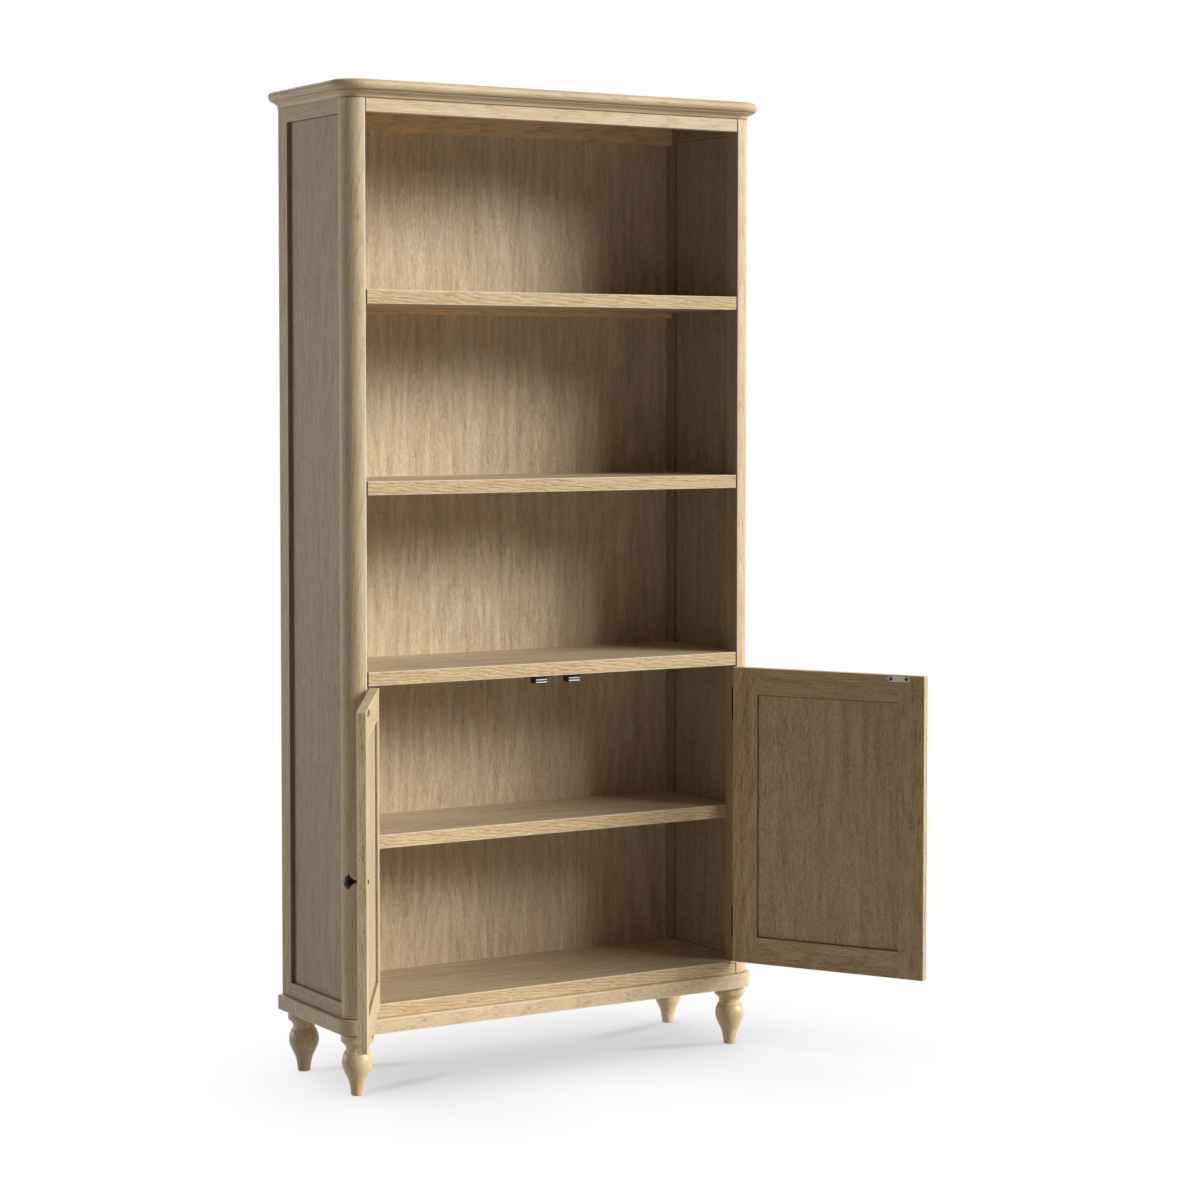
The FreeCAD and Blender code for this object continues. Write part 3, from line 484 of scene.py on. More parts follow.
# Nickel-plated sheet steel is warm grey and satin.
NICKEL_STEEL = MetalFinish("nickel_plated_steel", "#A5A199", "#8A867E", 0.9, 0.42, 1.5)
# Moulded plastic is black with a fine spark-eroded grain.
CATCH_PLASTIC = MetalFinish("moulded_black_plastic", "#121110", "#1B1A18", 0.0, 0.5, 0.8)


class OakGrain:
    """Builds one shared node group of grain for each kind of wood.

    Noise values lie about 0.5. A fade goes from none at its first value to full at its second.
    """

    # Low waves bend the growth rings
    wave_mm: Pair = (90.0, 420.0)
    wave_reach_mm: float = 22.0
    # Shares of a growth ring over which its early wood and its pale line fade in
    early_fade: Pair = (0.6, 0.05)
    line_fade: Pair = (0.28, 0.04)
    # Noise values over which a pale line, the lime and the open pores fade in
    unbroken_fade: Pair = (0.36, 0.56)
    lime_fade: Pair = (0.60, 0.74)
    pore_fade: Pair = (0.40, 0.26)
    # The early wood's mean, and how much more lime and pores it holds
    early_mean: float = 0.4
    early_pull: float = 0.08
    # Octaves of finer fibres, and the strength of each
    fibre_detail: float = 3.0
    fibre_fade: float = 0.7
    tint_range: Pair = (0.25, 0.75)
    # Tones at which the wood is dark, middling and light
    tone_stops: Triple = (0.1, 0.5, 0.9)
    pore_roughness: float = 0.3
    pore_depth: float = 1.2

    def __init__(self, wood: Oak) -> None:
        """Build the group for a wood.

        Args:
            wood: the finish, whose name the group takes.
        """
        self.wood = wood
        self.group = new_group(
            wood.name, {"Place": "Vector"}, {"Colour": "Color", "Roughness": "Float", "Height": "Float"})
        self._build()

    def _streaks(self, place: object, size_mm: Pair, detail: float, fade: float = 0.55) -> Node:
        """Random streaks along the grain, of a real width and length.

        Args:
            place: grain coordinates in metres.
            size_mm: width and length of a streak.
            detail: octaves of finer streaks.
            fade: strength of each finer octave.

        Returns:
            The noise node, about 0.5 on average.
        """
        wide, long = (1.0 / (size * MM) for size in size_mm)
        scaled = add(self.group, "VectorMath", (place, (wide, wide, long)), "MULTIPLY")
        return add(self.group, "TexNoise", {
            "Vector": scaled, "Scale": 1.0, "Detail": detail, "Roughness": fade})

    def _shift(self, tone: object, value: object, depth: float, centre: float = 0.5) -> Node:
        """Tone moved by depth times the value's distance from its centre."""
        away = add(self.group, "Math", (value, centre), "SUBTRACT")
        return add(self.group, "Math", (away, depth, tone), "MULTIPLY_ADD")

    def _leaves(self, place: object) -> Node:
        """Place within a veneer leaf, each leaf shifted up to a metre along the log so that leaves differ.

        Args:
            place: grain coordinates in metres.

        Returns:
            Grain coordinates measured from the middle of the leaf.
        """
        tree = self.group
        width = self.wood.leaf_width_mm * MM
        parts = add(tree, "SeparateXYZ", (place,))
        shares = add(tree, "Math", (parts, width), "DIVIDE")
        count = add(tree, "Math", (shares,), "FLOOR")
        middle = add(tree, "Math", (count, width, width / 2), "MULTIPLY_ADD")
        across = add(tree, "Math", (parts, middle), "SUBTRACT")
        chance = add(tree, "TexWhiteNoise", {"W": count}, noise_dimensions="1D")
        shift = add(tree, "VectorMath", (
            chance.outputs["Color"], (width / 3, width / 5, 1.0), (-width / 6, 0.0, 0.0)), "MULTIPLY_ADD")
        local = add(tree, "CombineXYZ", (across, parts.outputs[1], parts.outputs[2]))
        return add(tree, "VectorMath", (local, shift), "ADD")

    def _ring(self, place: object) -> Node:
        """Share of the way through a growth ring, about a leaning heart, bent by low waves.

        The ring count is the distance from the heart, sqrt(x^2 + (y + lean * z)^2), over the pitch.

        Args:
            place: grain coordinates in metres.

        Returns:
            0 at the start of each ring's porous early wood, up to 1 at the end of its late wood.
        """
        tree = self.group
        wave = self._streaks(place, self.wave_mm, 2.0)
        centred = add(tree, "VectorMath", (wave.outputs["Color"], (0.5, 0.5, 0.5)), "SUBTRACT")
        reach = self.wave_reach_mm * MM
        bent = add(tree, "VectorMath", (centred, (reach, reach, 0.0), place), "MULTIPLY_ADD")
        parts = add(tree, "SeparateXYZ", (bent,))
        depth = add(tree, "Math", (parts.outputs[2], self.wood.lean, parts.outputs[1]), "MULTIPLY_ADD")
        ripple = self._streaks(place, self.wood.ripple_mm, 1.0)
        depth = self._shift(depth, ripple, self.wood.ripple_reach_mm * MM)
        flat = add(tree, "CombineXYZ", (parts, depth))
        radius = add(tree, "VectorMath", (flat,), "LENGTH")
        pitch = self.wood.ring_pitch_mm * MM
        rings = add(tree, "Math", (radius.outputs["Value"], pitch), "DIVIDE")
        return add(tree, "Math", (rings,), "FRACT")

    def _build(self) -> None:
        """Join rings, streaks, fibres and pores into a colour, a roughness and a height."""
        tree, wood = self.group, self.wood
        place = add(tree, "NodeGroupInput")
        if wood.leaf_width_mm:
            place = self._leaves(place)
        ring = self._ring(place)
        early = fade_in(tree, ring, self.early_fade)
        fibre = self._streaks(place, wood.fibre_mm, self.fibre_detail, self.fibre_fade)
        tone = self._shift(self.tone_stops[1], early, -wood.ring_depth, self.early_mean)
        tone = self._shift(tone, fibre, wood.fibre_depth)
        for size_mm, detail, depth in (
                (wood.streak_mm, 2.0, wood.streak_depth), (wood.band_mm, 1.0, wood.band_depth),
                (wood.broad_mm, 1.0, wood.broad_depth)):
            tone = self._shift(tone, self._streaks(place, size_mm, detail), depth)
        ramp = add(tree, "ValToRGB", (tone,))
        stops = ramp.color_ramp.elements
        stops.new(self.tone_stops[1])
        for stop, position, colour in zip(stops, self.tone_stops, (wood.dark, wood.middle, wood.light)):
            stop.position = position
            stop.color = linear(colour)
        low, high = self.tint_range
        tint = add(tree, "MapRange", {
            "Value": self._streaks(place, wood.tint_mm, 1.0), "From Min": low, "From Max": high})
        hue = add(tree, "Mix", {0: tint, 6: linear(wood.cool), 7: linear(wood.warm)}, data_type="RGBA")
        colour = add(tree, "Mix", {0: 1.0, 6: ramp, 7: hue.outputs[2]}, data_type="RGBA",
                     blend_type="MULTIPLY").outputs[2]
        dash = self._streaks(place, wood.dash_mm, 1.0)
        richer = self._shift(dash, early, self.early_pull, self.early_mean)
        limed = fade_in(tree, richer, self.lime_fade, wood.lime_share)
        line = fade_in(tree, ring, self.line_fade, wood.line_share)
        unbroken = fade_in(tree, fibre, self.unbroken_fade)
        broken = add(tree, "Math", (line, unbroken), "MULTIPLY")
        pale = add(tree, "Math", (limed, broken), "MAXIMUM")
        poorer = self._shift(dash, early, -self.early_pull, self.early_mean)
        pores = fade_in(tree, poorer, self.pore_fade, wood.pore_share)
        for share, over in ((pale, wood.lime), (pores, wood.pore)):
            colour = add(tree, "Mix", {0: share, 6: colour, 7: linear(over)}, data_type="RGBA").outputs[2]
        rough = add(tree, "Math", (pores, self.pore_roughness, wood.roughness), "MULTIPLY_ADD")
        height = add(tree, "Math", (pores, -self.pore_depth, fibre), "MULTIPLY_ADD")
        add(tree, "NodeGroupOutput", {"Colour": colour, "Roughness": rough, "Height": height})


def board_edges() -> Tree:
    """Make the node group that measures how far a place on a board is from its edges.

    The second smallest distance to the board's faces is the one to the nearest arris. Two vectors move
    the low and high faces in or far out, and the smallest distance is then the one to the nearest
    seam. The last distance is the one behind the front.

    Returns:
        The group, with a place from the board's middle and the board's half size as its inputs.
    """
    group = new_group(
        "board_edges", dict.fromkeys(("Place", "Half size", "Low faces", "High faces"), "Vector"),
        dict.fromkeys(("Arris", "Seam", "Front"), "Float"))
    place, half, low_faces, high_faces = add(group, "NodeGroupInput").outputs[:4]
    below = add(group, "VectorMath", (place, half), "ADD")
    above = add(group, "VectorMath", (half, place), "SUBTRACT")
    away = add(group, "VectorMath", (below, above), "MINIMUM")
    x, y, z = add(group, "SeparateXYZ", (away,)).outputs
    near = add(group, "Math", (x, y), "MINIMUM")
    far = add(group, "Math", (x, y), "MAXIMUM")
    other = add(group, "Math", (far, z), "MINIMUM")
    arris = add(group, "Math", (near, other), "MAXIMUM")
    low = add(group, "VectorMath", (below, low_faces), "ADD")
    high = add(group, "VectorMath", (above, high_faces), "ADD")
    joined = add(group, "VectorMath", (low, high), "MINIMUM")
    x, y, z = add(group, "SeparateXYZ", (joined,)).outputs
    first = add(group, "Math", (x, y), "MINIMUM")
    seam = add(group, "Math", (first, z), "MINIMUM")
    front = add(group, "SeparateXYZ", (below,)).outputs[1]
    add(group, "NodeGroupOutput", {"Arris": arris, "Seam": seam, "Front": front})
    return group


class Finisher:
    """Dresses pieces in wood or metal, with each wooden piece cut from its own place in the log."""

    # Steps through the log, as shares of its own reach, that repeat only after many pieces
    log_steps: Triple = (0.618034, 0.754878, 0.569840)
    heart_across_mm: float = 70.0
    heart_depth_mm: Pair = (35.0, 95.0)
    log_length: float = 6.0
    # Metres that a face without a seam is moved outwards
    out_of_reach: float = 1.0
    lipping_mm: float = 1.2
    mitre_reach_mm: float = 60.0
    # The mitred returns are cut this many metres further along the log
    return_step: float = 1.7
    arris_full_mm: float = 0.4
    grain_bump: float = 0.3
    grain_relief_mm: float = 0.3
    mottle_detail: float = 3.0
    mottle_fade: Pair = (0.45, 0.7)
    mottle_roughness: float = 0.15
    mottle_relief_mm: float = 0.1

    def __init__(self, pieces: dict[str, bpy.types.Object]) -> None:
        """Keep the pieces by name and start with no wood cut.

        Args:
            pieces: the frame's pieces by name.
        """
        self.pieces = pieces
        self.grains: dict[str, OakGrain] = {}
        self.edges = board_edges()
        self.metals: dict[str, bpy.types.Material] = {}
        self.cut = 0

    def _grain(self, wood: Oak) -> Tree:
        """The shared grain group of a wood.

        Args:
            wood: the finish.

        Returns:
            The group, made when it is first asked for.
        """
        if wood.name not in self.grains:
            self.grains[wood.name] = OakGrain(wood)
        return self.grains[wood.name].group

    def _heart(self) -> Vector:
        """Where the next piece lies in the log.

        Returns:
            Metres across and through from the heart, and along it.
        """
        self.cut += 1
        across, deep, along = (math.modf(self.cut * step)[0] for step in self.log_steps)
        near, far = self.heart_depth_mm
        side = (2 * across - 1) * self.heart_across_mm
        return Vector((side * MM, (near + (far - near) * deep) * MM, along * self.log_length))

    def _extent(self, name: str, upright: Matrix) -> tuple[Vector, Vector]:
        """The middle and half size of a piece, measured as it stands before it is swung.

        Args:
            name: the piece.
            upright: turns the piece back.

        Returns:
            The middle and the half size in those axes.
        """
        mesh = self.pieces[name].data
        points = np.empty(len(mesh.vertices) * 3)
        mesh.vertices.foreach_get("co", points)
        turned = points.reshape(-1, 3) @ np.array(upright).T
        low, high = turned.min(axis=0), turned.max(axis=0)
        return Vector((low + high) / 2), Vector((high - low) / 2)

    def _gap(self, tree: Tree, place: Node, half: Vector, seam: Seam) -> Socket:
        """How far a place lies from a seam.

        The faces that carry the seam move in by their tuck, and the others move out of reach. Behind
        the seam's own reach every place is far from it.

        Args:
            tree: the material's nodes.
            place: coordinates from the piece's middle.
            half: the piece's half size.
            seam: the line with its faces.

        Returns:
            The distance in metres.
        """
        moves = {way: Vector((self.out_of_reach,) * 3) for way in (-1, 1)}
        for side in seam.sides:
            axis, way = side.value
            moves[way][axis] = -seam.tucked_mm[axis] * MM
        edges = add(tree, "Group", {
            "Place": place, "Half size": half, "Low faces": moves[-1], "High faces": moves[1]},
            node_tree=self.edges)
        if not seam.reach_mm:
            return edges.outputs["Seam"]
        behind = add(tree, "Math", (edges.outputs["Front"], seam.reach_mm * MM), "GREATER_THAN")
        return add(tree, "Math", (edges.outputs["Seam"], behind), "MAXIMUM").outputs[0]

    def wood(self, name: str, wood: Oak, lay: Lay, turn: float = 0.0, seams: tuple[Seam, ...] = (),
             lipping: Oak | None = None, mitred: bool = False) -> None:
        """Give a piece its own wood.

        Args:
            name: the piece.
            wood: the finish.
            lay: how the grain lies in the piece before it is swung.
            turn: how far the piece stands turned about the vertical, in radians.
            seams: dark joint lines widened into painted shade, and painted shade over whole faces.
            lipping: the finish of the front face, where it is another wood.
            mitred: whether its side returns are separate lengths with their own grain.
        """
        middle, half = self._extent(name, Matrix.Rotation(-turn, 3, "Z"))
        heart = self._heart()
        material = bpy.data.materials.new(f"{wood.name}_{name}")
        tree = blank(material)
        place = add(tree, "TexCoord").outputs["Object"]
        standing = add(tree, "Mapping", {"Vector": place, "Rotation": (0.0, 0.0, -turn), "Location": -middle})
        lying = add(tree, "Mapping", {
            "Vector": standing, "Rotation": Matrix(lay.value).to_euler("XYZ"), "Location": heart})
        edges = add(tree, "Group", {"Place": standing, "Half size": half}, node_tree=self.edges)
        grain_place = self._mitre(tree, standing, half, lying, heart) if mitred else lying.outputs[0]
        grain = add(tree, "Group", {"Place": grain_place}, node_tree=self._grain(wood))
        colour = grain.outputs["Colour"]
        if lipping:
            edge_grain = add(tree, "Group", {"Place": grain_place}, node_tree=self._grain(lipping))
            at_front = add(tree, "Math", (edges.outputs["Front"], self.lipping_mm * MM), "LESS_THAN")
            colour = add(tree, "Mix", {0: at_front, 6: colour, 7: edge_grain}, data_type="RGBA").outputs[2]
        edged = lipping or wood
        # The pale arris is rubbed lime and a painted highlight.
        if edged.arris_lime_and_highlight:
            colour = cover(tree, colour, edged.lime, edges.outputs["Arris"],
                           (edged.arris_mm * MM, self.arris_full_mm * MM), edged.arris_lime_and_highlight)
        for seam in seams:
            colour = cover(tree, colour, seam.colour, self._gap(tree, standing, half, seam),
                           (seam.wide_mm * MM, seam.narrow_mm * MM), seam.share)
        bump = add(tree, "Bump", {
            "Strength": self.grain_bump, "Distance": self.grain_relief_mm * MM,
            "Height": grain.outputs["Height"]})
        shader = add(tree, "BsdfPrincipled", {
            "Base Color": colour, "Roughness": grain.outputs["Roughness"], "Normal": bump,
            "Specular IOR Level": wood.specular})
        add(tree, "OutputMaterial", {"Surface": shader})
        self._dress(name, material)

    def _mitre(self, tree: Tree, standing: Node, half: Vector, lying: Node, heart: Vector) -> Socket:
        """Grain coordinates that turn along the side returns behind a mitre at 45 degrees.

        A place belongs to a return where its distance in from the side is less than its distance
        back from the front and less than the moulding's width.

        Args:
            tree: the material's nodes.
            standing: coordinates from the piece's middle.
            half: the piece's half size.
            lying: grain coordinates of the front length.
            heart: where the front length lies in the log.

        Returns:
            Grain coordinates of the front length or of the returns.
        """
        returned = add(tree, "Mapping", {
            "Vector": standing, "Rotation": Matrix(Lay.DEEP_SIDE.value).to_euler("XYZ"),
            "Location": heart + Vector((0.0, 0.0, self.return_step))})
        parts = add(tree, "SeparateXYZ", (standing,))
        out = add(tree, "Math", (parts,), "ABSOLUTE")
        inward = add(tree, "Math", (half.x, out), "SUBTRACT")
        back = add(tree, "Math", (parts.outputs[1], half.y), "ADD")
        limit = add(tree, "Math", (back, self.mitre_reach_mm * MM), "MINIMUM")
        share = add(tree, "Math", (inward, limit), "LESS_THAN")
        return add(tree, "Mix", {0: share, 4: lying, 5: returned}, data_type="VECTOR").outputs[1]

    def metal(self, name: str, finish: MetalFinish) -> None:
        """Give a fitting its finish, shared by all fittings of that kind.

        Args:
            name: the piece.
            finish: the metal or plastic.
        """
        if finish.name not in self.metals:
            self.metals[finish.name] = self._metal_material(finish)
        self._dress(name, self.metals[finish.name])

    def _metal_material(self, finish: MetalFinish) -> bpy.types.Material:
        """A metal or plastic with a fine mottle at its grit's real size.

        Args:
            finish: its colours and grit.

        Returns:
            The new material.
        """
        material = bpy.data.materials.new(finish.name)
        tree = blank(material)
        mottle = add(tree, "TexNoise", {
            "Vector": add(tree, "TexCoord").outputs["Object"], "Scale": 1.0 / (finish.grit_mm * MM),
            "Detail": self.mottle_detail})
        colour = cover(tree, linear(finish.colour), finish.worn, mottle, self.mottle_fade)
        reach = self.mottle_roughness
        rough = add(tree, "Math", (mottle, reach, finish.roughness - reach / 2), "MULTIPLY_ADD")
        bump = add(tree, "Bump", {
            "Strength": finish.bump, "Distance": self.mottle_relief_mm * MM, "Height": mottle})
        shader = add(tree, "BsdfPrincipled", {
            "Base Color": colour, "Roughness": rough, "Normal": bump, "Metallic": finish.metallic})
        add(tree, "OutputMaterial", {"Surface": shader})
        return material

    def _dress(self, name: str, material: bpy.types.Material) -> None:
        """Put one material on a piece and report it.

        Args:
            name: the piece.
            material: what it wears.
        """
        piece = self.pieces[name]
        piece.data.materials.clear()
        piece.data.materials.append(material)
        log.info("%s in %s", name, material.name)


@dataclass
class Feet:
    """The turned feet: an eased tip, a swelling bulb, a small bead, a hollow neck and a collar."""

    wood: Oak = TURNED_OAK
    sides: int = 64
    height_mm: float = 120.0
    bulb_radius_mm: float = 29.2
    collar_radius_mm: float = 31.0
    collar_foot_mm: float = 100.56
    collar_roll_mm: float = 6.0
    tip_radius_mm: float = 12.41
    tip_ease_mm: float = 1.44
    hidden_top_mm: float = 1.8
    # Samples along the bulb, the bead and the neck, and along the collar's roll
    curve_samples: tuple[int, ...] = (40, 6, 16)
    roll_samples: int = 7
    bulb_shares: tuple[Pair, ...] = (
        (0.435, 0.06), (0.535, 0.195), (0.65, 0.275), (0.815, 0.356), (0.94, 0.437), (1.0, 0.525),
        (0.96, 0.60), (0.865, 0.663))
    bead_shares: tuple[Pair, ...] = ((0.835, 0.663), (0.85, 0.677), (0.80, 0.693))
    neck_shares: tuple[Pair, ...] = (
        (0.765, 0.693), (0.73, 0.742), (0.80, 0.79), (0.975, 0.838))

    def outline(self) -> np.ndarray:
        """The foot's turned outline.

        Returns:
            Radius and reach in millimetres, from the sole's middle to the collar's middle.
        """
        size = np.array([self.bulb_radius_mm, self.height_mm])
        tip, ease = self.tip_radius_mm, self.tip_ease_mm
        roll_start = self.neck_shares[-1][0] * self.bulb_radius_mm
        quarter = np.radians(np.linspace(0.0, 90.0, self.roll_samples)[1:])
        roll = np.stack([
            roll_start + (self.collar_radius_mm - roll_start) * np.sin(quarter),
            self.collar_foot_mm + self.collar_roll_mm * (1.0 - np.cos(quarter))], axis=1)
        curves = [smooth_run(np.array(shares) * size, samples) for shares, samples in zip(
            (self.bulb_shares, self.bead_shares, self.neck_shares), self.curve_samples)]
        return np.concatenate([
            [[0.0, 0.0], [tip - ease, 0.0], [tip, ease]], *curves, roll,
            [[self.collar_radius_mm, self.height_mm], [0.0, self.height_mm]]])

    def build(self, finisher: Finisher) -> None:
        """Turn each foot at its place in the frame and dress it.

        Args:
            finisher: dresses the feet.
        """
        # The dark band round the top of each foot is painted shade under the plinth.
        seam = FOOT_SEAM.at(Side.TOP, tucked_mm=(0.0, 0.0, self.hidden_top_mm))
        for name in FOOT_NAMES:
            place = Matrix.Translation(foot_middle(name))
            foot = turned_piece(f"turned_{name}", self.outline(), self.sides, place)
            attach(foot, "carcass")
            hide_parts(name)
            finisher.pieces[foot.name] = foot
            finisher.wood(foot.name, self.wood, Lay.UPRIGHT_FRONT, seams=(seam,))


@dataclass
class Case:
    """The carcass: plinth, framed sides, shelves, rails, back and cornice."""

    solid: Oak = OAK
    straight: Oak = RAIL_OAK
    post: Oak = POST_OAK
    framing: Oak = SIDE_OAK
    plinth: Oak = BASE_OAK
    edge: Oak = SHELF_OAK
    board: Oak = BOARD_VENEER
    veneer: Oak = BACK_VENEER
    side: Oak = SIDE_VENEER
    plain: Oak = PINE
    tongue_mm: float = 7.5
    board_behind_post_mm: float = 17.0

    def dress(self, finisher: Finisher) -> None:
        """Give each piece of the carcass its wood.

        Args:
            finisher: dresses the pieces.
        """
        for rail in ("base_front_rail", "base_rear_rail"):
            finisher.wood(rail, self.plinth, Lay.ACROSS_FRONT)
        for moulding in ("cornice_board", "top_board"):
            finisher.wood(moulding, self.straight, Lay.ACROSS_FRONT, seams=(CORNICE_SEAM.at(Side.FOOT),),
                          mitred=True)
        finisher.wood("front_top_rail", self.straight, Lay.ACROSS_FRONT,
                      seams=(OPEN_SEAM.at(*ENDS, Side.TOP),))
        finisher.wood("bottom_board", self.board, Lay.ACROSS_TOP, seams=(FINE_SEAM.at(*ENDS, Side.FOOT),),
                      lipping=self.edge)
        behind_posts = BOARD_SEAM.at(*ENDS, tucked_mm=(self.board_behind_post_mm, 0.0, 0.0))
        for board in ("cupboard_top", "middle_shelf", "upper_shelf"):
            finisher.wood(board, self.board, Lay.ACROSS_TOP, seams=(behind_posts,), lipping=self.edge)
        finisher.wood("inner_shelf", self.board, Lay.ACROSS_TOP, lipping=self.edge)
        for rail in ("rear_top_rail", "rear_middle_rail"):
            finisher.wood(rail, self.plain, Lay.ACROSS_FRONT)
        for panel in ("lower_back_panel", "upper_back_panel"):
            finisher.wood(panel, self.veneer, Lay.UPRIGHT_FRONT)
        finisher.wood("dowels", self.solid, Lay.ACROSS_FRONT)
        self._dress_side(finisher, "left", self.post)
        # The right end's inner faces get painted shade.
        self._dress_side(finisher, "right", self.solid, (INNER_FRAME_SHADE,), (INNER_PANEL_SHADE,))

    def _dress_side(self, finisher: Finisher, side: str, post: Oak, frame_shade: tuple[Seam, ...] = (),
                    panel_shade: tuple[Seam, ...] = ()) -> None:
        """Give one framed side its wood.

        Args:
            finisher: dresses the pieces.
            side: left or right.
            post: the wood of its front post.
            frame_shade: the painted shade on its frame's inner faces.
            panel_shade: the painted shade on its panel's inner face.
        """
        top, foot = FINE_SEAM.at(Side.TOP), BASE_SEAM.at(Side.FOOT)
        grooved = FINE_SEAM.at(*DEEP_ENDS, tucked_mm=(0.0, self.tongue_mm, 0.0))
        around = PANEL_SEAM.at(*DEEP_ENDS, *UPRIGHT_ENDS, tucked_mm=(0.0, self.tongue_mm, self.tongue_mm))
        for piece, wood, lay, seams in (
                ("front_post", post, Lay.UPRIGHT_FRONT, (top, foot) + frame_shade),
                ("rear_stile", self.framing, Lay.UPRIGHT_SIDE, (top, foot, PANEL_WALL_SHADE.at(Side.FRONT)) + frame_shade),
                ("side_top_rail", self.framing, Lay.DEEP_SIDE, (grooved, top) + frame_shade),
                ("side_bottom_rail", self.framing, Lay.DEEP_SIDE, (grooved, foot) + frame_shade),
                ("base_rail", self.plinth, Lay.DEEP_SIDE, ()),
                ("side_panel", self.side, Lay.UPRIGHT_SIDE, (around,) + panel_shade)):
            finisher.wood(f"{side}_{piece}", wood, lay, seams=seams)


